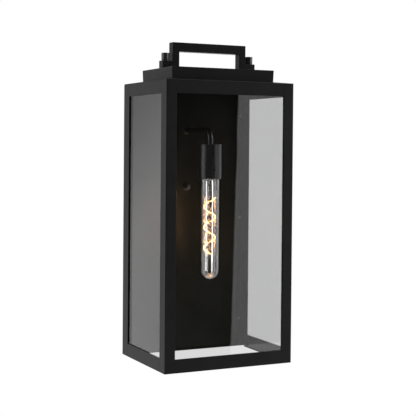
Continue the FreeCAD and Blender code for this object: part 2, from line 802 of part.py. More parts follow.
def handle():
    """Inverted U of square bar whose feet turn outwards and rest on the cap."""
    outer = handle_width / 2
    inner = outer - handle_leg
    crown = cap_top + handle_rise
    points = [
        (-outer - foot_reach, cap_top), (-inner, cap_top), (-inner, crown - handle_bar),
        (inner, crown - handle_bar), (inner, cap_top), (outer + foot_reach, cap_top),
        (outer + foot_reach, foot_top), (outer, foot_top), (outer, crown),
        (-outer, crown), (-outer, foot_top), (-outer - foot_reach, foot_top),
    ]
    body = padded("handle_bar", "XZ_Plane", points, handle_depth)
    place(body, 0, centre_y + handle_depth / 2, 0)
    soften(body, "PartDesign::Fillet", "handle_edges", handle_edge,
           lambda edge: abs(edge.BoundBox.ZMin - cap_top.value) > 0.1
           or edge.BoundBox.ZMax - edge.BoundBox.ZMin > 1.0)
    holes = [cylinder(f"handle_{side}_hole", stud_radius + clearance * 2, foot_height + PAST * 2,
                      stud_x * sign, centre_y, cap_top - PAST) for side, sign in sides()]
    keep(cut("handle", body, holes), "handle")


def handle_studs():
    """Studs through the cap and the handle's feet, with their nuts inside the cap."""
    low = cap_top - cap_wall - nut_height - blind_end
    high = foot_top + washer_thickness + thumb_height - blind_end - PAST
    studs = []
    nuts = []
    for side, sign in sides():
        x = stud_x * sign
        studs.append(cylinder(f"{side}_handle_stud", stud_radius, high - low, x, centre_y, low))
        nut_low = cap_top - cap_wall - nut_height
        blank = prism(f"{side}_stud_nut_blank", nut_across_flats, nut_height, x, centre_y, nut_low)
        bore = cylinder(f"{side}_stud_nut_bore", stud_radius + thread_gap, nut_height + PAST * 2, x,
                        centre_y, nut_low - PAST)
        nuts.append(cut(f"{side}_stud_nut", blank, [bore]))
    keep(group("handle_studs", studs), "handle_studs")
    keep(group("handle_stud_nuts", nuts), "handle_stud_nuts")


def thumb_nuts():
    """Round thumb nuts with blind threads, each with the captive washer under it."""
    for side, sign in sides():
        x = stud_x * sign
        ring = cylinder(f"{side}_thumb_washer_disc", thumb_washer_radius, washer_thickness, x,
                        centre_y, foot_top)
        hole = cylinder(f"{side}_thumb_washer_hole", stud_radius + clearance,
                        washer_thickness + PAST * 2, x, centre_y, foot_top - PAST)
        keep(cut(f"{side}_thumb_washer", ring, [hole]), f"{side}_thumb_washer")
        bore = stud_radius + thread_gap
        bore_end = thumb_height - blind_end
        points = [
            (bore, 0), (thumb_radius - thumb_edge, 0), (thumb_radius, thumb_edge),
            (thumb_radius, thumb_height - thumb_edge), (thumb_radius - thumb_edge, thumb_height),
            (0, thumb_height), (0, bore_end), (bore, bore_end),
        ]
        nut = turned(f"{side}_thumb_nut", points)
        place(nut, x, centre_y, foot_top + washer_thickness)
        keep(nut, f"{side}_thumb_nut")


# ---- lamp ----

def arm_pipe():
    """Lamp pipe from the rear wall, level and then bent down into the cup."""
    start = wall_back
    corners = [(lamp_y, arm_height, arm_bend), (lamp_y, holder_top - pipe_grip)]
    profile_place = ("XZ_Plane", -start, (0, arm_height))
    body = routed("arm_pipe", profile_place, (start, arm_height), pipe_radius, corners, pipe_bore_radius)
    keep(body, "arm_pipe")


def lead_wires():
    """Two insulated leads from the lamp holder through the pipe to the terminal block."""
    start_level = holder_floor + wire_radius * 1.6
    turn_y = wall_back + wire_bend
    corners = [
        (lamp_y, arm_height, arm_bend),
        (turn_y, arm_height, wire_bend),
        (turn_y, terminal_top),
    ]
    for label, sign in (("live_wire", -1), ("neutral_wire", 1)):
        profile_place = ("XY_Plane", start_level, (0, lamp_y))
        wire = routed(label, profile_place, (lamp_y, start_level), wire_radius, corners)
        place(wire, wire_offset * sign)
        keep(wire, label)


def socket_cup():
    """Plain cup, closed above apart from the pipe's hole, open below."""
    bore = pipe_radius + thread_gap
    points = [
        (bore, 0), (cup_radius - cup_edge, 0), (cup_radius, -cup_edge), (cup_radius, -cup_length),
        (cup_radius - cup_wall, -cup_length), (cup_radius - cup_wall, -(cup_edge * 2)),
        (bore, -(cup_edge * 2)),
    ]
    cup = turned("socket_cup", points)
    place(cup, 0, lamp_y, cup_top)
    keep(cup, "socket_cup")


def cup_locknut():
    low = cup_top - cup_edge * 2 - jam_nut_height
    blank = prism("cup_locknut_blank", lamp_nut_across_flats, jam_nut_height, 0, lamp_y, low)
    bore = cylinder("cup_locknut_bore", pipe_radius + thread_gap, jam_nut_height + PAST * 2, 0, lamp_y,
                    low - PAST)
    keep(cut("cup_locknut", blank, [bore]), "cup_locknut")


def socket_body():
    """Insulating lamp holder: a thick cup threaded onto the end of the pipe."""
    pipe_bore = pipe_radius + thread_gap
    shoulder = holder_top - pipe_grip - clearance * 2
    shell_bore = base_crest + thread_depth + shell_thickness + clearance * 3
    points = [
        (pipe_bore, holder_top), (holder_radius, holder_top),
        (holder_radius, holder_top - holder_length), (shell_bore, holder_top - holder_length),
        (shell_bore, holder_floor), (0, holder_floor), (0, shoulder), (pipe_bore, shoulder),
    ]
    holder = turned("socket_body_block", points)
    place(holder, 0, lamp_y, 0)
    holes = [cylinder(f"socket_body_{side}_wire_hole", wire_radius + thread_gap * 2,
                      shoulder - holder_floor, wire_offset * sign, lamp_y,
                      holder_floor + wire_radius * 1.5) for side, sign in sides()]
    keep(cut("socket_body", holder, holes), "socket_body")


def thread_profile(low, ridges, crest, root, thickness):
    """Wavy half-section of a rolled screw shell, as rings one pitch apart."""
    outside = []
    for index in range(ridges):
        level = low + screw_pitch * index
        outside.append((root, level))
        outside.append((crest, level + screw_pitch / 2))
    outside.append((root, low + screw_pitch * ridges))
    inside = [(radius - thickness, level) for radius, level in reversed(outside)]
    return outside + inside


def socket_screw_shell():
    """Rolled brass shell that takes the bulb's base, hung from the holder's floor."""
    ridges = 7
    low = holder_floor - screw_pitch * ridges
    outer_crest = base_crest + thread_gap * 2 + thread_depth + shell_thickness
    outer_root = base_crest + thread_gap * 2 + shell_thickness
    points = thread_profile(low, ridges, outer_crest, outer_root, shell_thickness)
    shell = turned("socket_screw_shell", points)
    place(shell, 0, lamp_y, 0)
    keep(shell, "socket_screw_shell")


def socket_center_contact():
    """Round plate that the bulb's foot presses on, riveted to the holder's floor."""
    plate = cylinder("center_contact_plate", contact_radius, contact_sheet, 0, lamp_y,
                     bulb_foot + thread_gap)
    rivet = cylinder("center_contact_rivet", contact_radius / 4, contact_gap - thread_gap * 2, 0,
                     lamp_y + contact_radius * 0.65, bulb_foot + thread_gap * 2)
    keep(fuse("socket_center_contact", [plate, rivet]), "socket_center_contact")


def bulb_base():
    """Screw base of the bulb: rolled shell, black insulator and foot contact."""
    ridges = 5
    root = base_crest - thread_depth
    points = thread_profile(base_bottom, ridges, base_crest, root, shell_thickness)
    shell_top = base_bottom + screw_pitch * ridges
    collar_level = bulb_foot - base_collar_drop
    collar = [(base_collar_radius, collar_level), (base_collar_radius - shell_thickness, collar_level)]
    outside = points[:2 * ridges + 1]
    inside = points[2 * ridges + 1:]
    shell = turned("bulb_base_shell", outside + collar + inside)
    place(shell, 0, lamp_y, 0)
    keep(shell, "bulb_base_shell")
    low = shell_top + shell_thickness * 4
    reach = base_collar_radius - shell_thickness * 2
    nose = reach * 0.6
    foot_level = bulb_foot - foot_contact_height
    points = [(0, low), (reach, low), (reach, collar_level), (nose, foot_level), (0, foot_level)]
    insulator = turned("bulb_base_insulator", points)
    place(insulator, 0, lamp_y, 0)
    keep(insulator, "bulb_base_insulator")
    foot = cone("bulb_foot_contact", nose * 0.9, nose * 0.66, foot_contact_height, 0, lamp_y, foot_level)
    keep(foot, "bulb_foot_contact")


def bulb_envelope(name, inset):
    """Solid of the bulb's outside, or of its inside when inset by the glass wall."""
    radius = bulb_radius - inset
    neck = bulb_neck_radius - inset
    dome_level = bulb_tip + bulb_radius
    shoulder = cup_mouth - cup_edge
    neck_level = base_bottom - cup_edge
    neck_top = base_bottom + bulb_neck_length
    dome = doc.addObject("Part::Sphere", f"{name}_dome")
    bind(dome, "Radius", radius)
    place(dome, 0, lamp_y, dome_level)
    pieces = [
        dome,
        cylinder(f"{name}_tube", radius, shoulder - dome_level, 0, lamp_y, dome_level),
        cone(f"{name}_shoulder", radius, neck, neck_level - shoulder, 0, lamp_y, shoulder),
        cylinder(f"{name}_neck", neck, neck_top - neck_level + inset, 0, lamp_y, neck_level),
    ]
    return fuse(name, pieces)


def bulb_glass():
    outside = bulb_envelope("bulb_outside", as_size(0))
    inside = bulb_envelope("bulb_inside", bulb_wall)
    keep(cut("bulb_glass", outside, [inside]), "bulb_glass")


def bulb_stem():
    """Glass stem: a flare sealed in the neck, a press and a rod down past the filament."""
    flare_top = base_bottom + bulb_neck_length - PAST
    flare_height = bulb_neck_radius
    flare_radius = bulb_neck_radius - bulb_wall - clearance
    flare = cone("bulb_stem_flare", stem_press_radius, flare_radius, flare_height, 0, lamp_y,
                 flare_top - flare_height)
    press = cylinder("bulb_stem_press", stem_press_radius, flare_top - flare_height - stem_press_bottom,
                     0, lamp_y, stem_press_bottom)
    rod = cylinder("bulb_stem_rod", stem_rod_radius, stem_press_bottom - stem_rod_bottom + PAST, 0, lamp_y,
                   stem_rod_bottom)
    keep(fuse("bulb_stem", [flare, press, rod]), "bulb_stem")


def filament_point(level, radius):
    """Point of the filament's left-handed spiral, or at another radius in line with it."""
    drop = -filament_top.value - level
    angle = math.radians(filament_start.value) + 2 * math.pi * drop / filament_pitch.value
    return FreeCAD.Vector(radius * math.cos(angle), radius * math.sin(angle), level)


def bulb_filament():
    """One spiral strand, drawn as a round wire as thick as its fine coil."""
    high = -filament_top.value
    length = filament_length.value
    steps = round(length / filament_pitch.value * SPIRAL_STEPS_PER_TURN)
    points = [filament_point(high - length * step / steps, filament_radius.value)
              for step in range(steps + 1)]
    curve = Part.BSplineCurve()
    curve.interpolate(points)
    path = Part.Wire([curve.toShape()])
    section = Part.Wire([Part.makeCircle(filament_wire.value, points[0], curve.tangent(0)[0])])
    piece = doc.addObject("Part::Feature", "bulb_filament")
    piece.Shape = path.makePipeShell([section], True, True)
    place(piece, 0, lamp_y, 0)
    keep(piece, "bulb_filament")


def jointed_wire(points, radius):
    """Straight runs of round wire, with a ball at each bend."""
    runs = [Part.makeCylinder(radius, (end - start).Length, start, end - start)
            for start, end in zip(points, points[1:])]
    balls = [Part.makeSphere(radius, point) for point in points[1:-1]]
    return runs[0].multiFuse(runs[1:] + balls) if len(points) > 2 else runs[0]


def bulb_support_wires():
    """Leads from the press to both ends of the filament, and hooks from the rod to its turns."""
    radius = support_wire.value
    gap = filament_wire.value + radius + thread_gap.value
    high = -filament_top.value
    low = high - filament_length.value
    press = stem_press_bottom.value - thread_gap.value
    reach = stem_press_radius.value * 0.65
    top_end = filament_point(high, filament_radius.value)
    bottom_end = filament_point(low, filament_radius.value)
    outward = FreeCAD.Vector(top_end.x, top_end.y, 0).normalize()
    short_lead = [
        outward * reach + FreeCAD.Vector(0, 0, press),
        top_end + FreeCAD.Vector(0, 0, gap),
    ]
    long_lead = [
        FreeCAD.Vector(-outward.x * reach, -outward.y * reach, press),
        FreeCAD.Vector(-outward.x * reach, -outward.y * reach, low - gap),
        bottom_end - FreeCAD.Vector(0, 0, gap),
    ]
    wires = [jointed_wire(short_lead, radius), jointed_wire(long_lead, radius)]
    for turn in HOOKED_TURNS:
        level = high - filament_pitch.value * turn
        start = filament_point(level, stem_rod_radius.value + thread_gap.value)
        end = filament_point(level, filament_radius.value - gap)
        wires.append(jointed_wire([start, end], radius))
    piece = doc.addObject("Part::Feature", "bulb_support_wires")
    piece.Shape = Part.makeCompound(wires)
    place(piece, 0, lamp_y, 0)
    keep(piece, "bulb_support_wires")


# ---- wall mounting ----

def terminal_block():
    """Two-way supply connector on the back of the rear wall, partly in the junction box."""
    half = terminal_width / 2
    back = wall_back + terminal_depth
    block = box("terminal_block_case", (-half, half), (wall_back, back), (terminal_low, terminal_top))
    holes = []
    for side, sign in sides():
        holes.append(cylinder(f"terminal_{side}_wire_hole", wire_radius + thread_gap * 2, PAST * 2,
                              wire_offset * sign, wall_back + wire_bend, terminal_top - PAST / 2))
        holes.append(cylinder(f"terminal_{side}_supply_hole", wire_radius * 1.8, terminal_depth / 2,
                              terminal_spacing / 2 * sign, back + PAST,
                              (terminal_low + terminal_top) / 2, "-Y"))
    keep(cut("terminal_block", block, holes), "terminal_block")


def mounting_bracket():
    """Flat crossbar for a junction box: two slots, the stud's hole and the ground screw's hole."""
    half = bracket_length / 2
    bar = padded("bracket_bar", "XZ_Plane",
                 [(-half, -(bracket_width / 2)), (half, -(bracket_width / 2)),
                  (half, bracket_width / 2), (-half, bracket_width / 2)], bracket_thickness)
    depth = bracket_thickness + PAST * 2
    tools = [
        cylinder("bracket_stud_hole", stud_radius + thread_gap, depth, 0, PAST, 0, "-Y"),
        cylinder("bracket_ground_hole", ground_screw_radius + thread_gap, depth, ground_screw_x, PAST, 0,
                 "-Y"),
    ]
    for side, sign in sides():
        middle = slot_spacing / 2 * sign
        reach = slot_length / 2 - slot_radius
        for end in (-1, 1):
            tools.append(cylinder(f"bracket_{side}_slot_end{end + 1}", slot_radius, depth,
                                  middle + reach * end, PAST, 0, "-Y"))
        tools.append(box(f"bracket_{side}_slot_middle", (middle - reach, middle + reach),
                         (PAST - depth, PAST), (-slot_radius, slot_radius)))
    keep(cut("mounting_bracket", bar, [fuse("bracket_openings", tools)]), "mounting_bracket")


def mounting_stud():
    length = recess_depth + sheet_thickness + washer_thickness + cap_nut_length - blind_end - PAST
    keep(cylinder("mounting_stud", stud_radius, length, 0, 0, 0, "-Y"), "mounting_stud")
    blank = prism("stud_locknut_blank", nut_across_flats, jam_nut_height, 0, -bracket_thickness, 0, "-Y")
    bore = cylinder("stud_locknut_bore", stud_radius + thread_gap, jam_nut_height + PAST * 2, 0,
                    PAST - bracket_thickness, 0, "-Y")
    keep(cut("stud_locknut", blank, [bore]), "stud_locknut")


def mounting_cap_nut():
    """Domed nut and washer on the stud, inside the lantern."""
    disc = cylinder("mounting_washer_disc", cap_nut_radius + slot_radius / 3, washer_thickness, 0,
                    wall_front, 0, "-Y")
    hole = cylinder("mounting_washer_hole", stud_radius + clearance, washer_thickness + PAST * 2, 0,
                    wall_front + PAST, 0, "-Y")
    keep(cut("mounting_cap_washer", disc, [hole]), "mounting_cap_washer")
    start = wall_front - washer_thickness
    barrel_length = cap_nut_length * 0.6
    barrel = cylinder("cap_nut_barrel", cap_nut_radius, barrel_length, 0, start, 0, "-Y")
    dome = cone("cap_nut_dome", cap_nut_radius, cap_nut_radius * 0.45, cap_nut_length - barrel_length, 0,
                start - barrel_length, 0, "-Y")
    bore = cylinder("cap_nut_bore", stud_radius + thread_gap, cap_nut_length - blind_end + PAST, 0,
                    start + PAST, 0, "-Y")
    keep(cut("mounting_cap_nut", fuse("cap_nut_blank", [barrel, dome]), [bore]), "mounting_cap_nut")


def ground_screw():
    shank = cylinder("ground_screw_shank", ground_screw_radius, bracket_thickness * 1.25,
                     ground_screw_x, 0, 0, "-Y")
    head = cone("ground_screw_head", ground_screw_radius * 2.1, ground_screw_radius * 1.7,
                ground_screw_radius * 1.1, ground_screw_x, -bracket_thickness, 0, "-Y")
    keep(fuse("ground_screw", [shank, head]), "ground_screw")


def wall_gasket():
    """Foam strips up both sides and across the top, open below so that water drains."""
    outer = inner_x - gasket_inset
    inner = outer - gasket_width
    along = (flange_back, 0)
    high = frame_top - gasket_inset
    low = bottom + gasket_inset * 2
    strips = [
        box("gasket_left", (-outer, -inner), along, (low, high)),
        box("gasket_right", (inner, outer), along, (low, high)),
        box("gasket_top", (-inner, inner), along, (high - gasket_width, high)),
    ]
    keep(group("wall_gasket", strips), "wall_gasket")


# ---- build, check, write ----

def build():
    front_posts()
    rear_posts()
    top_rails()
    bottom_rails()
    rear_wall()
    rear_strips()
    glass_panes()
    glass_gaskets()
    front_retainers()
    rear_retainers()
    retainer_screws()
    roof_plate()
    cap_box()
    cap_screws()
    handle()
    handle_studs()
    thumb_nuts()
    arm_pipe()
    lead_wires()
    socket_cup()
    cup_locknut()
    socket_body()
    socket_screw_shell()
    socket_center_contact()
    bulb_base()
    bulb_glass()
    bulb_stem()
    bulb_filament()
    bulb_support_wires()
    terminal_block()
    mounting_bracket()
    mounting_stud()
    mounting_cap_nut()
    ground_screw()
    wall_gasket()


def check():
    """Stop if any object failed or any piece has no valid solid."""
    for thing in doc.Objects:
        if "Invalid" in thing.State or "Error" in thing.State:
            raise RuntimeError(f"{thing.Label} failed to compute: {thing.State}")
    for thing in nodes:
        if thing.Shape.isNull() or not thing.Shape.isValid() or not thing.Shape.Solids:
            raise RuntimeError(f"{thing.Label} has no valid solid")


def write():
    os.makedirs("parts", exist_ok=True)
    for thing in nodes:
        thing.Shape.exportStep(f"parts/{thing.Label}.step")
        bounds = thing.Shape.BoundBox
        print(f"{thing.Label:24s} {len(thing.Shape.Solids)} solid(s) {thing.Shape.Volume:12.1f} mm3  "
              f"x {bounds.XMin:7.1f} {bounds.XMax:7.1f}  y {bounds.YMin:7.1f} {bounds.YMax:7.1f}  "
              f"z {bounds.ZMin:7.1f} {bounds.ZMax:7.1f}")


build()
doc.recompute()
check()
write()
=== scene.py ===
import bpy
import bmesh
import math
from mathutils import Matrix, Vector


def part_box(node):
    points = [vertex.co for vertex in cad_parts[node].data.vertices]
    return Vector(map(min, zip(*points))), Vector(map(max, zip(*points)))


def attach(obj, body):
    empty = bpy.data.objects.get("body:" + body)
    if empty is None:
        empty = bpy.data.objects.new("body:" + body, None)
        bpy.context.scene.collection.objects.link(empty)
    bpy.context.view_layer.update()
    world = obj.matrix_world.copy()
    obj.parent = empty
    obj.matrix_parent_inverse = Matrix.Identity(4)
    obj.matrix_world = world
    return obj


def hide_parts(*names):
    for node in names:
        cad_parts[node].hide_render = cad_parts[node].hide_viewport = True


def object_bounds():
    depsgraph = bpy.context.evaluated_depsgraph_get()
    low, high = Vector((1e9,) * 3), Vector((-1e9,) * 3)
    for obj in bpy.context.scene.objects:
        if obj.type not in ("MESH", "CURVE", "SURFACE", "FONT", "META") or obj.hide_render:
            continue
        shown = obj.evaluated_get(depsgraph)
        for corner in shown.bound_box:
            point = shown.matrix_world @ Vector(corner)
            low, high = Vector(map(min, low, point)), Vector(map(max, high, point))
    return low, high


# Outdoor wall lantern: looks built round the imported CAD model, in metres.

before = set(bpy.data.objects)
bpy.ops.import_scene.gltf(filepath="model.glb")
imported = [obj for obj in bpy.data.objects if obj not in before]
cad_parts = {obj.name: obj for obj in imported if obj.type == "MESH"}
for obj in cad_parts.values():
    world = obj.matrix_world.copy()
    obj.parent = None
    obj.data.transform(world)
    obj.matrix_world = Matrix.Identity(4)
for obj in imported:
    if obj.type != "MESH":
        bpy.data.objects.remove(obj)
cad_low, cad_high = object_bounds()

MM = 0.001
TURN = 2 * math.pi
UP = Vector((0, 0, 1))
INTO_ROOM = Vector((0, -1, 0))
LAMP_PITCH = 3.629 * MM
STUD_PITCH = 1.0 * MM
THREAD_DEPTH = 0.5 * MM
BLIND_END = 2 * MM
SCREW_HEAD = 2.8 * MM
LAMP_THREAD = 0.55 * MM
LAMP_COLLAR = 9.0 * MM
SHELL_WALL = 0.4 * MM
GLASS_WALL = 0.9 * MM
NECK_RADIUS = 11.4 * MM
PRESS_LOW = -2 * MM
ROD_RADIUS = 1.1 * MM
SPIRAL_PITCH = 35.8 * MM
SPIRAL_START = math.radians(-14)
STRAND = 0.75 * MM
HOOKED_TURNS = (0.22, 1.22, 2.22)


# ---- materials ----

class Finish:
    """A node-based material under construction."""

    def __init__(self, name):
        self.material = bpy.data.materials.new(name)
        self.material.use_nodes = True
        self.tree = self.material.node_tree
        self.shader = self.tree.nodes["Principled BSDF"]
        self.output = self.tree.nodes["Material Output"]
        self.place = self.add("ShaderNodeTexCoord").outputs["Object"]

    def add(self, kind):
        return self.tree.nodes.new(kind)

    def link(self, source, target):
        self.tree.links.new(source, target)

    def plain(self, **values):
        """Numbers and colours that are the same all over, on the shader's own sockets."""
        for name, value in values.items():
            socket = self.shader.inputs[name.replace("_", " ")]
            if isinstance(value, tuple):
                value = (*value, 1.0)
            socket.default_value = value

    def noise(self, scale, detail=3.0, stretch=(1, 1, 1)):
        """Cloudy pattern from 0 to 1; scale is in features per metre."""
        mapping = self.add("ShaderNodeMapping")
        mapping.inputs["Scale"].default_value = stretch
        self.link(self.place, mapping.inputs["Vector"])
        node = self.add("ShaderNodeTexNoise")
        node.inputs["Scale"].default_value = scale
        node.inputs["Detail"].default_value = detail
        self.link(mapping.outputs["Vector"], node.inputs["Vector"])
        return node.outputs["Fac"]

    def spread(self, source, low, high, start=0.3, end=0.7):
        """Stretch a pattern so that it runs between two values."""
        node = self.add("ShaderNodeMapRange")
        self.link(source, node.inputs["Value"])
        for name, value in (("From Min", start), ("From Max", end), ("To Min", low), ("To Max", high)):
            node.inputs[name].default_value = value
        return node.outputs["Result"]

    def colour(self, source, dark, light, start=0.3, end=0.7):
        """Base colour that drifts between two colours with a pattern."""
        ramp = self.add("ShaderNodeValToRGB")
        ramp.color_ramp.elements[0].position = start
        ramp.color_ramp.elements[0].color = (*dark, 1)
        ramp.color_ramp.elements[1].position = end
        ramp.color_ramp.elements[1].color = (*light, 1)
        self.link(source, ramp.inputs["Fac"])
        self.link(ramp.outputs["Color"], self.shader.inputs["Base Color"])

    def roughness(self, source, low, high):
        self.link(self.spread(source, low, high), self.shader.inputs["Roughness"])

    def relief(self, *layers):
        """Bump from one or more (pattern, depth in metres) layers."""
        normal = None
        for source, depth in layers:
            bump = self.add("ShaderNodeBump")
            bump.inputs["Distance"].default_value = depth
            self.link(source, bump.inputs["Height"])
            if normal:
                self.link(normal, bump.inputs["Normal"])
            normal = bump.outputs["Normal"]
        self.link(normal, self.shader.inputs["Normal"])

    def clear_to_lamps(self):
        """Let light rays straight through, so that what is behind the glass is lit."""
        path = self.add("ShaderNodeLightPath")
        through = self.add("ShaderNodeBsdfTransparent")
        through.inputs["Color"].default_value = self.shader.inputs["Base Color"].default_value
        mix = self.add("ShaderNodeMixShader")
        self.link(path.outputs["Is Shadow Ray"], mix.inputs["Fac"])
        self.link(self.shader.outputs["BSDF"], mix.inputs[1])
        self.link(through.outputs["BSDF"], mix.inputs[2])
        self.link(mix.outputs["Shader"], self.output.inputs["Surface"])


def powder_coat(name, dark, light):
    """Black satin powder coat: faint orange peel with a finer grain on it."""
    finish = Finish(name)
    finish.colour(finish.noise(35, 4), dark, light)
    finish.roughness(finish.noise(160, 4), 0.29, 0.36)
    finish.plain(Specular_IOR_Level=0.16)
    finish.relief((finish.noise(700, 2), 0.00004), (finish.noise(3800, 1), 0.000012))
    return finish.material


def lamp_black(name, smooth, rough):
    """Black paint on turned and bent parts, smoother than the frame's coat."""
    finish = Finish(name)
    finish.colour(finish.noise(60, 3), (0.009, 0.009, 0.010), (0.012, 0.012, 0.013))
    finish.roughness(finish.noise(300, 3), smooth, rough)
    finish.plain(Specular_IOR_Level=1.0, IOR=1.6)
    finish.relief((finish.noise(1500, 2), 0.000012),)
    return finish.material


def pane_glass():
    """Float glass: barely wavy and lightly tinted."""
    finish = Finish("float_glass")
    finish.plain(Base_Color=(0.748, 0.75, 0.75), Transmission_Weight=1.0, IOR=1.5)
    finish.roughness(finish.noise(25, 3), 0.0, 0.012)
    finish.relief((finish.noise(9, 1), 0.00005),)
    finish.clear_to_lamps()
    return finish.material


def lamp_glass():
    """Clear blown glass with slow waves along its length."""
    finish = Finish("blown_glass")
    finish.plain(Base_Color=(0.97, 0.975, 0.97), Transmission_Weight=1.0, IOR=1.5)
    finish.roughness(finish.noise(60, 2), 0.0, 0.01)
    finish.plain(Coat_Weight=1.0, Coat_IOR=2.2)
    finish.relief((finish.noise(45, 1, (1, 1, 0.25)), 0.000015),)
    finish.clear_to_lamps()
    return finish.material


def glowing_filament():
    """Coiled wire at its working heat."""
    finish = Finish("glowing_filament")
    finish.colour(finish.noise(120, 2), (0.30, 0.16, 0.08), (0.42, 0.24, 0.12))
    finish.roughness(finish.noise(900, 2), 0.45, 0.6)
    finish.plain(Emission_Color=(1.0, 0.50, 0.15), Emission_Strength=110.0)
    return finish.material


def drawn_wire():
    finish = Finish("drawn_nickel_wire")
    finish.colour(finish.noise(500, 3), (0.42, 0.40, 0.37), (0.62, 0.60, 0.56))
    finish.roughness(finish.noise(2000, 2, (1, 1, 0.1)), 0.25, 0.42)
    finish.plain(Metallic=1.0)
    return finish.material


def zinc_plate():
    """Zinc-plated steel with a faint rolled grain and duller patches."""
    finish = Finish("zinc_plated_steel")
    finish.colour(finish.noise(90, 5), (0.44, 0.45, 0.45), (0.63, 0.63, 0.61))
    finish.roughness(finish.noise(240, 4), 0.26, 0.46)
    finish.relief((finish.noise(900, 3, (0.15, 1, 1)), 0.00001),)
    finish.plain(Metallic=1.0)
    return finish.material


def green_plate():
    finish = Finish("green_passivated_steel")
    finish.colour(finish.noise(300, 4), (0.02, 0.17, 0.06), (0.05, 0.29, 0.11))
    finish.roughness(finish.noise(800, 3), 0.28, 0.42)
    finish.relief((finish.noise(2500, 2), 0.000008),)
    finish.plain(Metallic=0.7)
    return finish.material


def brass(name, dark, light):
    finish = Finish(name)
    finish.colour(finish.noise(200, 4), dark, light)
    finish.roughness(finish.noise(700, 3), 0.24, 0.40)
    finish.relief((finish.noise(1800, 2), 0.000008),)
    finish.plain(Metallic=1.0)
    return finish.material


def solder():
    finish = Finish("dull_solder")
    finish.colour(finish.noise(900, 3), (0.42, 0.42, 0.44), (0.62, 0.62, 0.62))
    finish.roughness(finish.noise(1500, 3), 0.35, 0.55)
    finish.relief((finish.noise(1300, 2), 0.00006),)
    finish.plain(Metallic=1.0)
    return finish.material


def porcelain():
    finish = Finish("glazed_porcelain")
    finish.colour(finish.noise(70, 4), (0.78, 0.76, 0.70), (0.86, 0.85, 0.81))
    finish.roughness(finish.noise(200, 3), 0.12, 0.24)
    finish.relief((finish.noise(260, 2), 0.00005),)
    return finish.material


def vitrite():
    """Black glass that insulates the foot of the bulb."""
    finish = Finish("black_vitrite")
    finish.colour(finish.noise(400, 3), (0.010, 0.010, 0.013), (0.020, 0.020, 0.026))
    finish.roughness(finish.noise(900, 3), 0.08, 0.2)
    finish.relief((finish.noise(700, 2), 0.00003),)
    return finish.material


def moulded(name, dark, light, rough=(0.38, 0.52)):
    """Moulded plastic or rubber with a faint grain."""
    finish = Finish(name)
    finish.colour(finish.noise(150, 4), dark, light)
    finish.roughness(finish.noise(500, 3), *rough)
    finish.relief((finish.noise(2600, 2), 0.00002),)
    return finish.material


def closed_foam():
    """Closed-cell foam: pits of half a millimetre."""
    finish = Finish("closed_cell_foam")
    finish.colour(finish.noise(900, 3), (0.016, 0.016, 0.016), (0.042, 0.042, 0.042))
    finish.roughness(finish.noise(1200, 3), 0.82, 0.95)
    finish.relief((finish.noise(1900, 3), 0.00025), (finish.noise(500, 2), 0.0002))
    return finish.material


COAT = powder_coat("black_powder_coat", (0.0105, 0.0105, 0.0115), (0.0145, 0.0145, 0.0155))
# Painted light: this copy of the black coat, used only on the rear wall, is lighter and a touch green. It
# stands in for the light that falls on the wall inside the lantern.
WALL_COAT_WITH_PAINTED_LIGHT = powder_coat("black_coat_painted_lighter", (0.019, 0.021, 0.018), (0.024, 0.026, 0.023))
LAMP_BLACK = lamp_black("black_satin_paint", 0.27, 0.32)
PIPE_BLACK = lamp_black("black_gloss_paint", 0.14, 0.20)
PANE = pane_glass()
BULB_GLASS = lamp_glass()
GLOW = glowing_filament()
WIRE = drawn_wire()
ZINC = zinc_plate()
GREEN = green_plate()
SOCKET_BRASS = brass("rolled_brass", (0.55, 0.38, 0.14), (0.76, 0.58, 0.28))
BASE_BRASS = brass("lacquered_base", (0.58, 0.45, 0.24), (0.74, 0.62, 0.40))
SOLDER = solder()
PORCELAIN = porcelain()
VITRITE = vitrite()
FOAM = closed_foam()
TAPE = moulded("black_glazing_tape", (0.010, 0.010, 0.010), (0.020, 0.020, 0.020), (0.6, 0.8))
LIVE = moulded("live_insulation", (0.014, 0.014, 0.014), (0.026, 0.026, 0.026))
NEUTRAL = moulded("neutral_insulation", (0.74, 0.74, 0.71), (0.85, 0.85, 0.82))
TERMINAL = moulded("terminal_plastic", (0.70, 0.70, 0.67), (0.80, 0.80, 0.77))


# ---- mesh building ----

def add_piece(name, points, faces, finish, body, slot, stands_for=(), crease=35):
    """Mesh object that rides on a body and stands for CAD nodes."""
    mesh = bpy.data.meshes.new(name)
    mesh.from_pydata([tuple(point) for point in points], [], faces)
    mesh.validate()
    shape = bmesh.new()
    shape.from_mesh(mesh)
    bmesh.ops.recalc_face_normals(shape, faces=shape.faces)
    shape.to_mesh(mesh)
    shape.free()
    mesh.update()
    for face in mesh.polygons:
        face.use_smooth = True
    mesh.set_sharp_from_angle(angle=math.radians(crease))
    mesh.materials.append(finish)
    piece = bpy.data.objects.new(name, mesh)
    bpy.context.scene.collection.objects.link(piece)
    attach(piece, body)
    if stands_for:
        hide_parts(*stands_for)
    return piece


def skinned(rings, closed=False):
    """Points and faces of a skin stretched over rings of points; a ring of one point is a tip."""
    points = []
    starts = []
    for ring in rings:
        starts.append(len(points))
        points.extend(ring)
    faces = []
    count = len(rings)
    for index in range(count if closed else count - 1):
        first = index
        second = (index + 1) % count
        a, b = starts[first], starts[second]
        n, m = len(rings[first]), len(rings[second])
        for step in range(max(n, m)):
            following = (step + 1) % max(n, m)
            if n == 1 and m > 1:
                faces.append((a, b + following, b + step))
            elif m == 1 and n > 1:
                faces.append((a + step, a + following, b))
            elif n > 1:
                faces.append((a + step, a + following, b + following, b + step))
    return points, faces


def value_at(value, angle):
    return value(angle) if callable(value) else value


def ring(radius, height, count):
    """Points round the Z axis. Radius and height are numbers or functions of the angle."""
    if not callable(radius) and radius < 1e-7:
        return [Vector((0, 0, value_at(height, 0)))]
    points = []
    for step in range(count):
        angle = TURN * step / count
        reach = value_at(radius, angle)
        points.append(Vector((reach * math.cos(angle), reach * math.sin(angle), value_at(height, angle))))
    return points


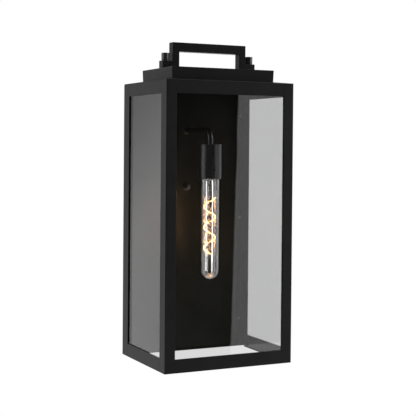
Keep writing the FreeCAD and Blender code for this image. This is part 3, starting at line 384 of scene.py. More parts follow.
def set_at(centre, direction=UP):
    """Matrix that puts a shape made along Z at a point, facing a direction."""
    turn = Vector(direction).to_track_quat("Z", "Y") if Vector(direction) != UP else None
    matrix = Matrix.Translation(centre)
    return matrix @ turn.to_matrix().to_4x4() if turn else matrix


def joined(parts):
    """One set of points and faces from several."""
    points = []
    faces = []
    for more_points, more_faces in parts:
        start = len(points)
        points.extend(more_points)
        faces.extend([tuple(start + corner for corner in face) for face in more_faces])
    return points, faces


def moved(part, matrix):
    points, faces = part
    return [matrix @ Vector(point) for point in points], faces


def eased(corners, closed=True, steps=4):
    """Half outline with its corners rounded: each corner is (radius, height, rounding)."""
    outline = []
    last = len(corners) - 1
    for index, (radius, height, rounding) in enumerate(corners):
        here = Vector((radius, height))
        if not rounding or (not closed and index in (0, last)):
            outline.append((radius, height))
            continue
        before = Vector(corners[index - 1][:2]) - here
        after = Vector(corners[(index + 1) % len(corners)][:2]) - here
        angle = before.angle(after)
        reach = min(rounding / math.tan(angle / 2), 0.48 * before.length, 0.48 * after.length)
        start = here + before.normalized() * reach
        end = here + after.normalized() * reach
        for step in range(steps + 1):
            t = step / steps
            point = start * (1 - t) ** 2 + here * 2 * t * (1 - t) + end * t ** 2
            outline.append((point.x, point.y))
    return outline


def turned(outline, count=96, closed=True):
    """Solid turned about Z from a half outline; an open outline ends in tips on the axis."""
    return skinned([ring(radius, height, count) for radius, height in outline], closed)


def lathed(corners, place, direction=UP, closed=False, count=96):
    """Solid turned from a half outline with rounded corners, set in its place."""
    return moved(turned(eased(corners, closed), count, closed), set_at(place, direction))


def threaded_rod(radius, pitch, low, high, depth, count=36, rows=8):
    """Rod with a rounded screw thread that runs out at both ends, which are chamfered."""
    def form(level):
        fade = min(1.0, (level - low) / pitch, (high - level) / pitch)

        def reach(angle):
            wave = 0.5 + 0.5 * math.cos(TURN * (level / pitch) - angle)
            return radius - depth * (1 - wave) - depth * 1.2 * (1 - fade)
        return reach
    steps = max(2, round((high - low) / pitch * rows))
    levels = [low + (high - low) * step / steps for step in range(steps + 1)]
    rings = [ring(0, low, count)]
    rings += [ring(form(level), level, count) for level in levels]
    rings += [ring(0, high, count)]
    return skinned(rings)


def hex_reach(half_flats, angle):
    """Distance from the axis to the side of a hexagon."""
    sixth = TURN / 6
    return half_flats / math.cos(angle % sixth - sixth / 2)


def hex_nut(across_flats, height, bore, chamfer_slope=0.5, count=72):
    """Hexagonal nut with turned chamfers at both faces and countersunk threads, its base at Z 0."""
    half = across_flats / 2
    face = half * 0.94

    def side(angle):
        return hex_reach(half, angle)

    def lower(angle):
        return (hex_reach(half, angle) - face) * chamfer_slope

    def upper(angle):
        return height - lower(angle)
    sink = 0.12 * bore
    rings = [
        ring(bore, sink * 1.5, count), ring(bore + sink, 0, count), ring(face, 0, count),
        ring(side, lower, count), ring(side, upper, count), ring(face, height, count),
        ring(bore + sink, height, count), ring(bore, height - sink * 1.5, count),
    ]
    return skinned(rings, closed=True)


def cross_reach(arm, half_width, angle):
    """Distance from the axis to the edge of a cross-shaped recess."""
    quarter = TURN / 4
    offset = abs((angle + quarter / 2) % quarter - quarter / 2)
    return min(arm / math.cos(offset), half_width / max(math.sin(offset), 1e-6))


def cross_head(radius, height, crown, count=64):
    """Domed screw head on Z 0 with a cross recess."""
    arm = radius * 0.62
    half_width = radius * 0.17

    def mouth(angle):
        return cross_reach(arm, half_width, angle)

    def floor(angle):
        return cross_reach(arm * 0.55, half_width * 0.6, angle)
    outline = eased([(radius, 0, 0), (radius, height - crown, crown * 0.8), (radius * 0.66, height, crown)],
                    closed=False)
    rings = [ring(0, 0, count)]
    rings += [ring(reach, level, count) for reach, level in outline]
    rings += [ring(mouth, height, count), ring(mouth, height - 0.02 * radius, count)]
    rings += [ring(floor, height * 0.35, count), ring(0, height * 0.3, count)]
    return skinned(rings)


def carried(path, section):
    """Rings of a flat section (a list of 2-D points) carried along a path."""
    rings = []
    tangent = (path[1] - path[0]).normalized()
    side = tangent.orthogonal().normalized()
    for index, point in enumerate(path):
        ahead = path[min(index + 1, len(path) - 1)] - path[max(index - 1, 0)]
        new_tangent = ahead.normalized()
        side = tangent.rotation_difference(new_tangent) @ side
        side = (side - new_tangent * side.dot(new_tangent)).normalized()
        tangent = new_tangent
        other = tangent.cross(side)
        rings.append([point + side * u + other * v for u, v in section])
    return rings


def swept(path, section):
    """Solid bar or wire along a path."""
    return skinned([[path[0]]] + carried(path, section) + [[path[-1]]])


def tube(path, outer, inner, sides):
    """Pipe along a path, open at both ends."""
    outside = carried(path, circle_section(outer, sides))
    inside = carried(path, circle_section(inner, sides))
    return skinned(outside + inside[::-1], closed=True)


def circle_section(radius, sides):
    return [(radius * math.cos(TURN * step / sides), radius * math.sin(TURN * step / sides))
            for step in range(sides)]


def bent_path(corners, bend, arc_steps=16, run_step=0.01):
    """Points along straight runs joined by arcs of one radius."""
    path = [Vector(corners[0])]
    for index in range(1, len(corners)):
        here = Vector(corners[index])
        before = (Vector(corners[index - 1]) - here).normalized()
        if index == len(corners) - 1:
            stop = here
        else:
            after = (Vector(corners[index + 1]) - here).normalized()
            reach = bend / math.tan(before.angle(after) / 2)
            stop = here + before * reach
        run = stop - path[-1]
        pieces = max(1, round(run.length / run_step))
        start = path[-1].copy()
        for step in range(1, pieces + 1):
            path.append(start + run * (step / pieces))
        if index < len(corners) - 1:
            centre = here + (before + after).normalized() * (bend / math.sin(before.angle(after) / 2))
            arm = stop - centre
            end_arm = here + after * reach - centre
            axis = arm.cross(end_arm).normalized()
            sweep = arm.angle(end_arm)
            for step in range(1, arc_steps + 1):
                path.append(centre + Matrix.Rotation(sweep * step / arc_steps, 3, axis) @ arm)
    return path


def machine_screw(head_radius, head_height, shank_radius, shank_length):
    """Cross-head screw with the head's seat at Z 0 and the shank below it."""
    head = cross_head(head_radius, head_height, head_height * 0.55)
    shank = threaded_rod(shank_radius, 0.5 * MM, -shank_length, 0, 0.12 * shank_radius, 20, 6)
    return joined([head, shank])


def rolled_shell(low, high, crest, tail=(), rows=10, count=96):
    """Thin shell with a rounded lamp thread rolled into it; tail is more outline above."""
    run_in = 0.7 * LAMP_PITCH

    def wall(level, inset):
        fade = max(0.0, min(1.0, (level - low) / run_in, (high - level) / run_in))

        def reach(angle):
            wave = 0.5 + 0.5 * math.cos(TURN * level / LAMP_PITCH - angle)
            return crest - LAMP_THREAD + LAMP_THREAD * wave * fade - inset
        return reach
    steps = round((high - low) / LAMP_PITCH * rows)
    levels = [low + (high - low) * step / steps for step in range(steps + 1)]
    outside = [ring(wall(level, 0), level, count) for level in levels]
    outside += [ring(radius, level, count) for radius, level in tail]
    inside = [ring(wall(level, SHELL_WALL), level, count) for level in levels]
    inside += [ring(radius - SHELL_WALL, level, count) for radius, level in tail]
    return skinned(outside + inside[::-1], closed=True)


def soft_strip(low, high, axis, edge, wander, steps=48):
    """Strip of foam or tape that fills a box, with rounded edges and a hand-laid wander."""
    size = high - low
    centre = (low + high) / 2
    first, second = (index for index in range(3) if index != axis)
    stations = []
    end_steps = 4
    for step in range(end_steps + 1):
        angle = TURN / 4 * step / end_steps
        stations.append((edge * (1 - math.cos(angle)), edge * (1 - math.sin(angle))))
    run = size[axis] - 2 * edge
    long_wave = 55
    short_wave = 143
    middle = [(edge + run * step / steps, 0) for step in range(1, steps)]
    ends = [(size[axis] - at, inset) for at, inset in stations[::-1]]
    rings = []
    for at, inset in stations + middle + ends:
        sway = wander * (0.5 + 0.3 * math.sin(at * long_wave) + 0.2 * math.sin(at * short_wave + 1))
        halves = (size[first] / 2 - inset, size[second] / 2 - inset)
        wide = 0 if halves[0] > halves[1] else 1
        ring_points = []
        for corner in range(4):
            sign_a = 1 if corner in (0, 3) else -1
            sign_b = 1 if corner in (0, 1) else -1
            for step in range(4):
                angle = TURN / 4 * (corner + step / 3)
                curve = edge - inset
                reach = [sign_a * (halves[0] - curve) + curve * math.cos(angle),
                         sign_b * (halves[1] - curve) + curve * math.sin(angle)]
                reach[wide] *= 1 - sway / halves[wide] if halves[wide] > 0 else 1
                point = centre.copy()
                point[first] += reach[0]
                point[second] += reach[1]
                point[axis] = low[axis] + at
                ring_points.append(point)
        rings.append(ring_points)
    tips = [[sum(ends_ring, Vector()) / len(ends_ring)] for ends_ring in (rings[0], rings[-1])]
    return skinned([tips[0]] + rings + [tips[1]])


def centre_of(node):
    low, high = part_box(node)
    return (low + high) / 2


# ---- CAD nodes that keep their shape ----

def keep_node(name, finish, edge=0.0003):
    """Give a CAD node its material, and ease its sharp edges as its press or file would."""
    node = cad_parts[name]
    for slot in node.material_slots:
        slot.material = finish
    if edge:
        weld = node.modifiers.new("weld", "WELD")
        weld.merge_threshold = 0.000002
        bevel = node.modifiers.new("eased_edges", "BEVEL")
        bevel.width = edge
        bevel.segments = 2
        bevel.limit_method = "ANGLE"
        bevel.angle_limit = math.radians(40)
        bevel.use_clamp_overlap = False
        bevel.harden_normals = True


FRAME_NODES = (
    "front_left_post", "front_right_post", "rear_left_post", "rear_right_post", "front_top_rail",
    "left_top_rail", "right_top_rail", "front_bottom_rail", "left_bottom_rail", "right_bottom_rail",
    "rear_top_strip", "rear_bottom_strip", "front_left_retainer", "front_right_retainer",
    "left_rear_retainer", "right_rear_retainer", "roof_plate", "cap_box",
)


def dress_frame():
    """Materials of the CAD nodes that are shown as they are."""
    for name in FRAME_NODES:
        keep_node(name, COAT)
    # The rear wall takes the lighter copy of the coat, which has painted light in its colour.
    keep_node("rear_wall", WALL_COAT_WITH_PAINTED_LIGHT)
    keep_node("handle", COAT, 0)
    for pane in ("front_glass", "left_glass", "right_glass"):
        keep_node(pane, PANE, 0.0004)
    keep_node("mounting_bracket", ZINC, 0.0003)
    keep_node("terminal_block", TERMINAL, 0.0005)
    keep_node("live_wire", LIVE, 0)
    keep_node("neutral_wire", NEUTRAL, 0)


# ---- glazing tape and wall gasket ----

def window_strips(outer, window, across):
    """Four boxes round a window: two upright and two level between them, which lie across."""
    (low, high), (left, right, bottom, top) = outer, window
    boxes = []
    for start, end in ((low[across], left), (right, high[across])):
        box_low, box_high = low.copy(), high.copy()
        box_low[across], box_high[across] = start, end
        boxes.append((box_low, box_high, 2))
    for start, end in ((low.z, bottom), (top, high.z)):
        box_low, box_high = low.copy(), high.copy()
        box_low[across], box_high[across] = left, right
        box_low.z, box_high.z = start, end
        boxes.append((box_low, box_high, across))
    return boxes


def glazing_tape():
    """Thin black tape between each pane and the frame, cut as four strips."""
    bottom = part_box("front_bottom_rail")[1].z
    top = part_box("front_top_rail")[0].z
    across = (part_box("front_left_post")[1].x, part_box("front_right_post")[0].x)
    deep = (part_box("front_left_post")[1].y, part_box("rear_left_post")[0].y)
    edge = 0.2 * MM
    wander = 0.15 * MM
    for pane, axis, (start, end) in (("front", 0, across), ("left", 1, deep), ("right", 1, deep)):
        node = f"{pane}_glass_gasket"
        strips = window_strips(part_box(node), (start, end, bottom, top), axis)
        part = joined([soft_strip(low, high, along, edge, wander) for low, high, along in strips])
        add_piece(f"{pane}_glazing_tape", *part, TAPE, "lantern", "black_tape", [node], crease=60)


def wall_gasket():
    """Foam up both sides and across the top, pressed to an even thickness."""
    low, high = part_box("wall_gasket")
    width = 12 * MM
    left, right = low.x + width, high.x - width
    strips = [
        (low, Vector((left, high.y, high.z)), 2),
        (Vector((right, low.y, low.z)), high, 2),
        (Vector((left, low.y, high.z - width)), Vector((right, high.y, high.z)), 0),
    ]
    edge = 1.4 * MM
    wander = 0.5 * MM
    part = joined([soft_strip(start, end, axis, edge, wander, 90) for start, end, axis in strips])
    foam = add_piece("wall_gasket_foam", *part, FOAM, "lantern", "foam", ["wall_gasket"], crease=60)


# ---- screws, studs and nuts ----

def screw_set(name, node, axis, places, finish, slot):
    """The small screws of one node, whose heads face down the axis that they lie along."""
    low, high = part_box(node)
    head_height = 1.6 * MM
    shank_radius = 1.5 * MM
    seat = low[axis] + head_height
    parts = []
    for place in places:
        centre = Vector(place)
        centre[axis] = seat
        facing = Vector((0, 0, 0))
        facing[axis] = -1
        screw = machine_screw(SCREW_HEAD, head_height, shank_radius, high[axis] - seat)
        parts.append(moved(screw, set_at(centre, facing)))
    add_piece(name, *joined(parts), finish, "lantern", slot, [node])


def frame_screws():
    """Six screws in the rear retainers and four under the cap."""
    low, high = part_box("retainer_screws")
    across = (low.x + SCREW_HEAD, high.x - SCREW_HEAD)
    levels = (low.z + SCREW_HEAD, (low.z + high.z) / 2, high.z - SCREW_HEAD)
    places = [(x, 0, z) for x in across for z in levels]
    screw_set("retainer_screw_set", "retainer_screws", 1, places, LAMP_BLACK, "black_lamp_metal")
    low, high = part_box("cap_screws")
    across = (low.x + SCREW_HEAD, high.x - SCREW_HEAD)
    along = (low.y + SCREW_HEAD, high.y - SCREW_HEAD)
    places = [(x, y, 0) for x in across for y in along]
    screw_set("cap_screw_set", "cap_screws", 2, places, ZINC, "zinc_steel")


def handle_fixings():
    """Threaded studs and the hexagon nuts that hold them inside the cap."""
    low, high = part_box("handle_studs")
    radius = (high.y - low.y) / 2
    nut_low, nut_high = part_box("handle_stud_nuts")
    studs = []
    nuts = []
    for x in (low.x + radius, high.x - radius):
        centre = Vector((x, (low.y + high.y) / 2, 0))
        rod = threaded_rod(radius, STUD_PITCH, low.z, high.z, THREAD_DEPTH)
        studs.append(moved(rod, set_at(centre)))
        nut = hex_nut(nut_high.y - nut_low.y, nut_high.z - nut_low.z, radius)
        nuts.append(moved(nut, set_at(centre + UP * nut_low.z)))
    add_piece("handle_stud_pair", *joined(studs), ZINC, "lantern", "zinc_steel", ["handle_studs"])
    add_piece("handle_nut_pair", *joined(nuts), ZINC, "lantern", "zinc_steel", ["handle_stud_nuts"])


def washer(name, node, body, axis_direction):
    """Flat black washer with eased edges, which travels with its nut."""
    low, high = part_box(node)
    centre = centre_of(node)
    bore = 3.15 * MM
    height = abs((high - low).dot(axis_direction))
    radius = max(high - low) / 2
    edge = 0.25 * height
    corners = [(bore, 0, edge), (radius, 0, edge), (radius, height, edge), (bore, height, edge)]
    seat = centre - axis_direction * height / 2
    part = lathed(corners, seat, axis_direction, closed=True)
    add_piece(name, *part, LAMP_BLACK, body, "black_lamp_metal", [node])


def thumb_nuts():
    """Round nuts with a shallow groove near the foot and a soft upper edge."""
    for side in ("left", "right"):
        washer(f"{side}_captive_washer", f"{side}_thumb_washer", f"{side}_thumb_carrier", UP)
        low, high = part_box(f"{side}_thumb_nut")
        radius = (high.x - low.x) / 2
        height = high.z - low.z
        bore = 3.05 * MM
        blind = height - BLIND_END
        groove = radius - 0.45 * MM
        corners = [
            (0, blind, 0), (bore, blind, 0.3 * MM), (bore, 0.6 * MM, 0.2 * MM),
            (bore + 0.6 * MM, 0, 0.1 * MM), (radius - 0.3 * MM, 0, 0.2 * MM),
            (radius, 0.4 * MM, 0.2 * MM), (radius, 1.6 * MM, 0.2 * MM), (groove, 1.9 * MM, 0.15 * MM),
            (groove, 2.5 * MM, 0.15 * MM), (radius, 2.8 * MM, 0.2 * MM),
            (radius, height - 0.3 * MM, 0.7 * MM), (0.5 * radius, height, 1.5 * MM), (0, height, 0),
        ]
        foot = centre_of(f"{side}_thumb_nut") - UP * height / 2
        part = lathed(corners, foot)
        add_piece(f"{side}_thumb_knob", *part, LAMP_BLACK, f"{side}_thumb", "black_lamp_metal",
                  [f"{side}_thumb_nut"])


def wall_fixings():
    """Stud, locknut, washer, domed nut and ground screw on the mounting bracket."""
    low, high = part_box("mounting_stud")
    radius = (high.x - low.x) / 2
    axis = Vector((centre_of("mounting_stud").x, 0, centre_of("mounting_stud").z))
    rod = threaded_rod(radius, STUD_PITCH, 0, high.y - low.y, THREAD_DEPTH)
    rod = moved(rod, set_at(axis, INTO_ROOM))
    add_piece("mounting_stud_thread", *rod, ZINC, "lantern", "zinc_steel", ["mounting_stud"])
    low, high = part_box("stud_locknut")
    nut = hex_nut(high.z - low.z, high.y - low.y, radius)
    part = moved(nut, set_at(axis + Vector((0, high.y, 0)), INTO_ROOM))
    add_piece("stud_hex_locknut", *part, ZINC, "lantern", "zinc_steel", ["stud_locknut"])
    washer("mounting_flat_washer", "mounting_cap_washer", "cap_nut_carrier", INTO_ROOM)
    low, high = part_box("mounting_cap_nut")
    reach = (high.x - low.x) / 2
    length = high.y - low.y
    bore = radius + 0.05 * MM
    base = length * 0.45
    neck = reach - 0.7 * MM
    spring = base + 0.6 * MM
    blind = length - BLIND_END
    dome_steps = 12
    dome = []
    for step in range(dome_steps + 1):
        angle = TURN / 4 * step / dome_steps
        dome.append((neck * math.cos(angle), spring + (length - spring) * math.sin(angle)))
    corners = [
        (0, blind, 0), (bore, blind, 0.3 * MM), (bore, 0, 0),
        (reach - 0.4 * MM, 0, 0.2 * MM), (reach, 0.5 * MM, 0.3 * MM), (reach, base - 0.4 * MM, 0.4 * MM),
        (neck, base, 0.2 * MM),
    ]
    outline = eased(corners, closed=False)[:-1] + [(neck, base)] + dome
    part = moved(turned(outline, closed=False), set_at(axis + Vector((0, high.y, 0)), INTO_ROOM))
    add_piece("mounting_dome_nut", *part, LAMP_BLACK, "cap_nut", "black_lamp_metal", ["mounting_cap_nut"])
    low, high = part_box("ground_screw")
    head_height = 2.2 * MM
    head_radius = (high.x - low.x) / 2
    seat = Vector(((low.x + high.x) / 2, low.y + head_height, 0))
    screw = machine_screw(head_radius, head_height, 2.0 * MM, -seat.y)
    part = moved(screw, set_at(seat, INTO_ROOM))
    add_piece("green_ground_screw", *part, GREEN, "lantern", "green_screw", ["ground_screw"])


dress_frame()
glazing_tape()
wall_gasket()
frame_screws()
handle_fixings()
thumb_nuts()
wall_fixings()


# ---- bulb ----

def lamp_axis():
    centre = centre_of("bulb_glass")
    return Vector((centre.x, centre.y, 0))


def bulb_outline(radius, neck, tip, top, shoulder, inset):
    """Half outline of the blown envelope from its tip to its neck, inset by the wall."""
    outline = []
    dome_steps = 24
    reach = radius - inset
    for step in range(dome_steps + 1):
        angle = TURN / 4 * step / dome_steps
        outline.append((reach * math.sin(angle), tip + radius - reach * math.cos(angle)))
    tube_steps = 10
    for step in range(1, tube_steps + 1):
        outline.append((reach, tip + radius + (shoulder - tip - radius) * step / tube_steps))
    shoulder_steps = 14
    shoulder_length = 13 * MM
    for step in range(1, shoulder_steps + 1):
        t = step / shoulder_steps
        ease = t * t * (3 - 2 * t)
        outline.append((reach + (neck - radius) * ease, shoulder + shoulder_length * t))
    outline.append((neck - inset, top))
    return outline


def bulb():
    """Blown tube with a round end, which narrows to its neck inside the cup."""
    low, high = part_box("bulb_glass")
    radius = (high.x - low.x) / 2
    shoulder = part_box("socket_cup")[0].z - 3 * MM
    outside = bulb_outline(radius, NECK_RADIUS, low.z, high.z, shoulder, 0)
    inside = bulb_outline(radius, NECK_RADIUS, low.z, high.z, shoulder, GLASS_WALL)
    outline = outside + inside[::-1]
    envelope = moved(turned(outline, 128, closed=False), set_at(lamp_axis()))
    return add_piece("bulb_envelope", *envelope, BULB_GLASS, "bulb", "bulb_glass", ["bulb_glass"])


def oval(long, short, tilt):
    """Ellipse as a radius for each angle."""
    def reach(angle):
        return 1 / math.hypot(math.cos(angle - tilt) / long, math.sin(angle - tilt) / short)
    return reach


def stem():
    """Flare, flattened press and thin rod in one piece of glass, ending in a bead."""
    low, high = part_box("bulb_stem")
    rim = NECK_RADIUS - GLASS_WALL - 0.2 * MM
    top = high.z
    flare = top - 12 * MM
    tilt = -0.45
    count = 32
    rings = [
        ring(0, low.z, count), ring(ROD_RADIUS, low.z + 0.5 * MM, count),
        ring(ROD_RADIUS * 1.25, low.z + 1.4 * MM, count), ring(ROD_RADIUS, low.z + 2.6 * MM, count),
        ring(ROD_RADIUS * 0.95, PRESS_LOW - 4 * MM, count), ring(ROD_RADIUS, PRESS_LOW - 1.5 * MM, count),
        ring(oval(2.6 * MM, 1.5 * MM, tilt), PRESS_LOW - 0.3 * MM, count),
        ring(oval(4.1 * MM, 1.8 * MM, tilt), PRESS_LOW + 1.2 * MM, count),
        ring(oval(4.2 * MM, 1.8 * MM, tilt), PRESS_LOW + 9 * MM, count),
        ring(oval(3.6 * MM, 2.3 * MM, tilt), PRESS_LOW + 16 * MM, count),
        ring(3.0 * MM, PRESS_LOW + 24 * MM, count), ring(3.0 * MM, flare, count),
        ring(4.0 * MM, flare + 3 * MM, count), ring(6.0 * MM, flare + 7 * MM, count),
        ring(8.6 * MM, flare + 10.5 * MM, count), ring(rim, top - 0.2 * MM, count),
        ring(rim - 0.8 * MM, top, count), ring(0, top, count),
    ]
    part = moved(skinned(rings), set_at(lamp_axis()))
    add_piece("bulb_stem_glass", *part, BULB_GLASS, "bulb", "bulb_glass", ["bulb_stem"])


def spiral_sizes():
    """Radius, top and bottom of the filament's centre line."""
    low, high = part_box("bulb_filament")
    return (high.x - low.x) / 2 - STRAND, high.z - STRAND, low.z + STRAND


def spiral_point(radius, top, level):
    angle = SPIRAL_START + TURN * (top - level) / SPIRAL_PITCH
    return Vector((radius * math.cos(angle), radius * math.sin(angle), level))


def filament():
    """One spiral strand, itself a fine coil of wire."""
    radius, top, bottom = spiral_sizes()
    coil_radius = 0.40 * MM
    coil_pitch = 0.42 * MM
    wire = 0.11 * MM
    length = (top - bottom) / SPIRAL_PITCH * math.hypot(TURN * radius, SPIRAL_PITCH)
    steps_per_coil = 10
    steps = round(length / coil_pitch * steps_per_coil)
    path = []
    for step in range(steps + 1):
        level = top + (bottom - top) * step / steps
        centre = spiral_point(radius, top, level)
        outward = Vector((centre.x, centre.y, 0)).normalized()
        ahead = spiral_point(radius, top, level - 0.1 * MM) - centre
        other = ahead.normalized().cross(outward)
        angle = TURN * step / steps_per_coil
        path.append(centre + (outward * math.cos(angle) + other * math.sin(angle)) * coil_radius)
    part = moved(swept(path, circle_section(wire, 5)), set_at(lamp_axis()))
    add_piece("glowing_filament", *part, GLOW, "bulb", "filament", ["bulb_filament"], crease=180)


def support_wires():
    """Two leads from the press to the strand's ends, and eyes on arms from the rod."""
    radius, top, bottom = spiral_sizes()
    wire = 0.28 * MM
    reach = 2.0 * MM
    start = spiral_point(radius, top, top)
    end = spiral_point(radius, top, bottom)
    outward = Vector((start.x, start.y, 0)).normalized()
    inside_press = PRESS_LOW + 6 * MM
    bend = 0.8 * MM
    top_lead = [outward * reach + UP * inside_press, outward * reach + UP * (PRESS_LOW - 1 * MM),
                start + UP * 2.2 * MM, start - UP * 0.9 * MM]
    bottom_lead = [outward * -reach + UP * inside_press, outward * -reach + UP * (bottom - 1.8 * MM),
                   end - UP * 1.8 * MM, end + UP * 0.9 * MM]
    paths = [bent_path(corners, bend, 8, 4 * MM) for corners in (top_lead, bottom_lead)]
    eye = 0.95 * MM
    eye_steps = 16
    arm_steps = 4
    for turns in HOOKED_TURNS:
        level = top - SPIRAL_PITCH * turns
        strand = spiral_point(radius, top, level)
        inward = Vector((-strand.x, -strand.y, 0)).normalized()
        root = spiral_point(ROD_RADIUS * 0.5, top, level)
        path = [root + (strand - root) * step / arm_steps for step in range(arm_steps)]
        for step in range(eye_steps + 1):
            angle = TURN * 0.9 * step / eye_steps
            path.append(strand + (inward * math.cos(angle) + UP * math.sin(angle)) * eye)
        paths.append(path)
    parts = [swept(path, circle_section(wire, 8)) for path in paths]
    part = moved(joined(parts), set_at(lamp_axis()))
    add_piece("filament_supports", *part, WIRE, "bulb", "support_wire", ["bulb_support_wires"], crease=60)


def screw_base():
    """Rolled shell, black glass insulator and soldered foot."""
    low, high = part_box("bulb_base_shell")
    crest = (high.x - low.x) / 2
    threads = 5
    thread_top = low.z + threads * LAMP_PITCH
    collar = [
        (crest - 0.8 * MM, thread_top + 0.5 * MM), (crest - 1.8 * MM, thread_top + 1.6 * MM),
        (LAMP_COLLAR + 0.6 * MM, high.z - 1.2 * MM), (LAMP_COLLAR, high.z - 0.4 * MM), (LAMP_COLLAR, high.z),
    ]
    part = moved(rolled_shell(low.z, thread_top, crest, collar), set_at(lamp_axis()))
    add_piece("bulb_screw_shell", *part, BASE_BRASS, "bulb", "bulb_base_metal", ["bulb_base_shell"])
    low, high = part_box("bulb_base_insulator")
    reach = (high.x - low.x) / 2
    nose = reach * 0.6
    shoulder = high.z - 2.4 * MM
    corners = [
        (0, low.z, 0), (reach, low.z, 0.4 * MM), (reach, shoulder, 1.2 * MM),
        (nose + 1.0 * MM, high.z - 0.5 * MM, 1.0 * MM), (nose, high.z, 0.4 * MM), (0, high.z, 0),
    ]
    part = lathed(corners, lamp_axis())
    add_piece("bulb_insulator", *part, VITRITE, "bulb", "base_insulator", ["bulb_base_insulator"])
    low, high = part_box("bulb_foot_contact")
    reach = (high.x - low.x) / 2
    foot = low.z + 0.04 * MM
    height = high.z - foot

    def blob(scale, phase):
        def radius(angle):
            return reach * scale * (0.97 + 0.03 * math.sin(3 * angle + phase))
        return radius
    count = 48
    rings = [ring(0, foot, count)]
    levels = ((1.0, 0, 0), (0.97, 0.2, 0.3), (0.84, 0.6, 0.62), (0.6, 1.2, 0.86), (0.3, 1.8, 0.97))
    for scale, phase, rise in levels:
        rings.append(ring(blob(scale, phase), foot + height * rise, count))
    rings.append(ring(0, high.z, count))
    part = moved(skinned(rings), set_at(lamp_axis()))
    add_piece("bulb_foot_solder", *part, SOLDER, "bulb_carrier", "solder", ["bulb_foot_contact"])


# ---- lamp holder and arm ----

def holder():
    """Cup, porcelain holder, threaded shell and centre contact."""
    pipe = (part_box("arm_pipe")[1].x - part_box("arm_pipe")[0].x) / 2
    bore = pipe + 0.05 * MM
    low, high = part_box("socket_cup")
    radius = (high.x - low.x) / 2
    wall = 1.2 * MM
    crown = high.z - 2 * MM
    corners = [
        (bore, high.z, 0.3 * MM), (radius, high.z, 1.1 * MM), (radius, low.z, 0.5 * MM),
        (radius - wall, low.z, 0.5 * MM), (radius - wall, crown, 1.0 * MM), (bore, crown, 0.2 * MM),
    ]
    part = lathed(corners, lamp_axis(), closed=True, count=128)
    add_piece("lamp_cup", *part, LAMP_BLACK, "lantern", "black_lamp_metal", ["socket_cup"])
    nut_low, nut_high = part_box("cup_locknut")
    nut = hex_nut(nut_high.y - nut_low.y, nut_high.z - nut_low.z, bore)
    part = moved(nut, set_at(lamp_axis() + UP * nut_low.z))
    add_piece("cup_hex_locknut", *part, ZINC, "lantern", "zinc_steel", ["cup_locknut"])
    low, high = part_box("socket_body")
    shell_low, shell_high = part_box("socket_screw_shell")
    crest = (shell_high.x - shell_low.x) / 2
    radius = (high.x - low.x) / 2
    cavity = crest + 0.2 * MM
    floor = shell_high.z
    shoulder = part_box("arm_pipe")[0].z - 0.3 * MM
    groove = radius - 1.2 * MM
    corners = [
        (0, floor, 0), (cavity, floor, 0.5 * MM), (cavity, low.z, 0.6 * MM), (radius, low.z, 0.8 * MM),
        (radius, low.z + 12 * MM, 0.5 * MM), (groove, low.z + 13 * MM, 0.5 * MM),
        (groove, low.z + 16 * MM, 0.5 * MM), (radius, low.z + 17 * MM, 0.5 * MM),
        (radius, high.z, 1.5 * MM), (bore, high.z, 0.4 * MM), (bore, shoulder, 0.3 * MM), (0, shoulder, 0),
    ]
    part = lathed(corners, lamp_axis())
    add_piece("porcelain_holder", *part, PORCELAIN, "lantern", "porcelain", ["socket_body"])
    part = moved(rolled_shell(shell_low.z, shell_high.z, crest), set_at(lamp_axis()))
    add_piece("holder_shell", *part, SOCKET_BRASS, "lantern", "brass", ["socket_screw_shell"])
    low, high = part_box("socket_center_contact")
    reach = (high.x - low.x) / 2
    plate = low.z + 0.6 * MM
    rivet = 1.0 * MM
    start = low.z + 0.1 * MM
    disc_corners = [(0, low.z, 0), (reach, low.z, 0.25 * MM), (reach, plate, 0.25 * MM), (0, plate, 0)]
    rivet_corners = [(0, start, 0), (rivet, start, 0), (rivet, high.z, 0), (0, high.z, 0)]
    rivet_place = lamp_axis() + Vector((0, reach * 0.65, 0))
    parts = [lathed(disc_corners, lamp_axis(), count=48), lathed(rivet_corners, rivet_place, count=24)]
    add_piece("holder_contact", *joined(parts), SOCKET_BRASS, "lantern", "brass", ["socket_center_contact"])


def arm():
    """Bent pipe with a small fillet of braze where it leaves the rear wall."""
    low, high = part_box("arm_pipe")
    radius = (high.x - low.x) / 2
    bore = radius * 0.7
    height = high.z - radius
    axis = lamp_axis()
    corners = [(0, high.y, height), (0, axis.y, height), (0, axis.y, low.z)]
    bend = 18 * MM
    path = bent_path(corners, bend, 32, 6 * MM)
    pipe = tube(path, radius, bore, 40)
    sheet = 1.5 * MM
    wall_front = high.y - sheet
    fillet = 1.4 * MM
    outline = [(radius - 0.2 * MM, 0), (radius + fillet, 0), (radius + 0.45 * fillet, 0.3 * fillet),
               (radius + 0.12 * fillet, 0.75 * fillet), (radius - 0.2 * MM, 1.3 * fillet)]
    braze = moved(turned(outline, 48), set_at(Vector((0, wall_front, height)), INTO_ROOM))
    add_piece("lamp_arm", *joined([pipe, braze]), PIPE_BLACK, "lantern", "black_lamp_metal", ["arm_pipe"])


bulb_glass = bulb()
stem()
filament()
support_wires()
screw_base()
holder()
arm()


# ---- studio ----

def camera():
    """Long lens from the front left, a little above the middle."""
    data = bpy.data.cameras.new("camera")
    data.lens = 91.02
    data.sensor_width = 36.0
    data.shift_y = -0.1017
    data.clip_start = 0.05
    data.clip_end = 50
    eye = bpy.data.objects.new("camera", data)
    bpy.context.scene.collection.objects.link(eye)
    yaw, pitch, roll = (math.radians(angle) for angle in (26.11, -1.04, -0.477))
    turn = Matrix.Rotation(-yaw, 4, "Z") @ Matrix.Rotation(TURN / 4 + pitch, 4, "X")
    turn = turn @ Matrix.Rotation(-roll, 4, "Z")
    eye.matrix_world = Matrix.Translation((-0.8136, -1.7585, 0.0739)) @ turn
    bpy.context.scene.camera = eye


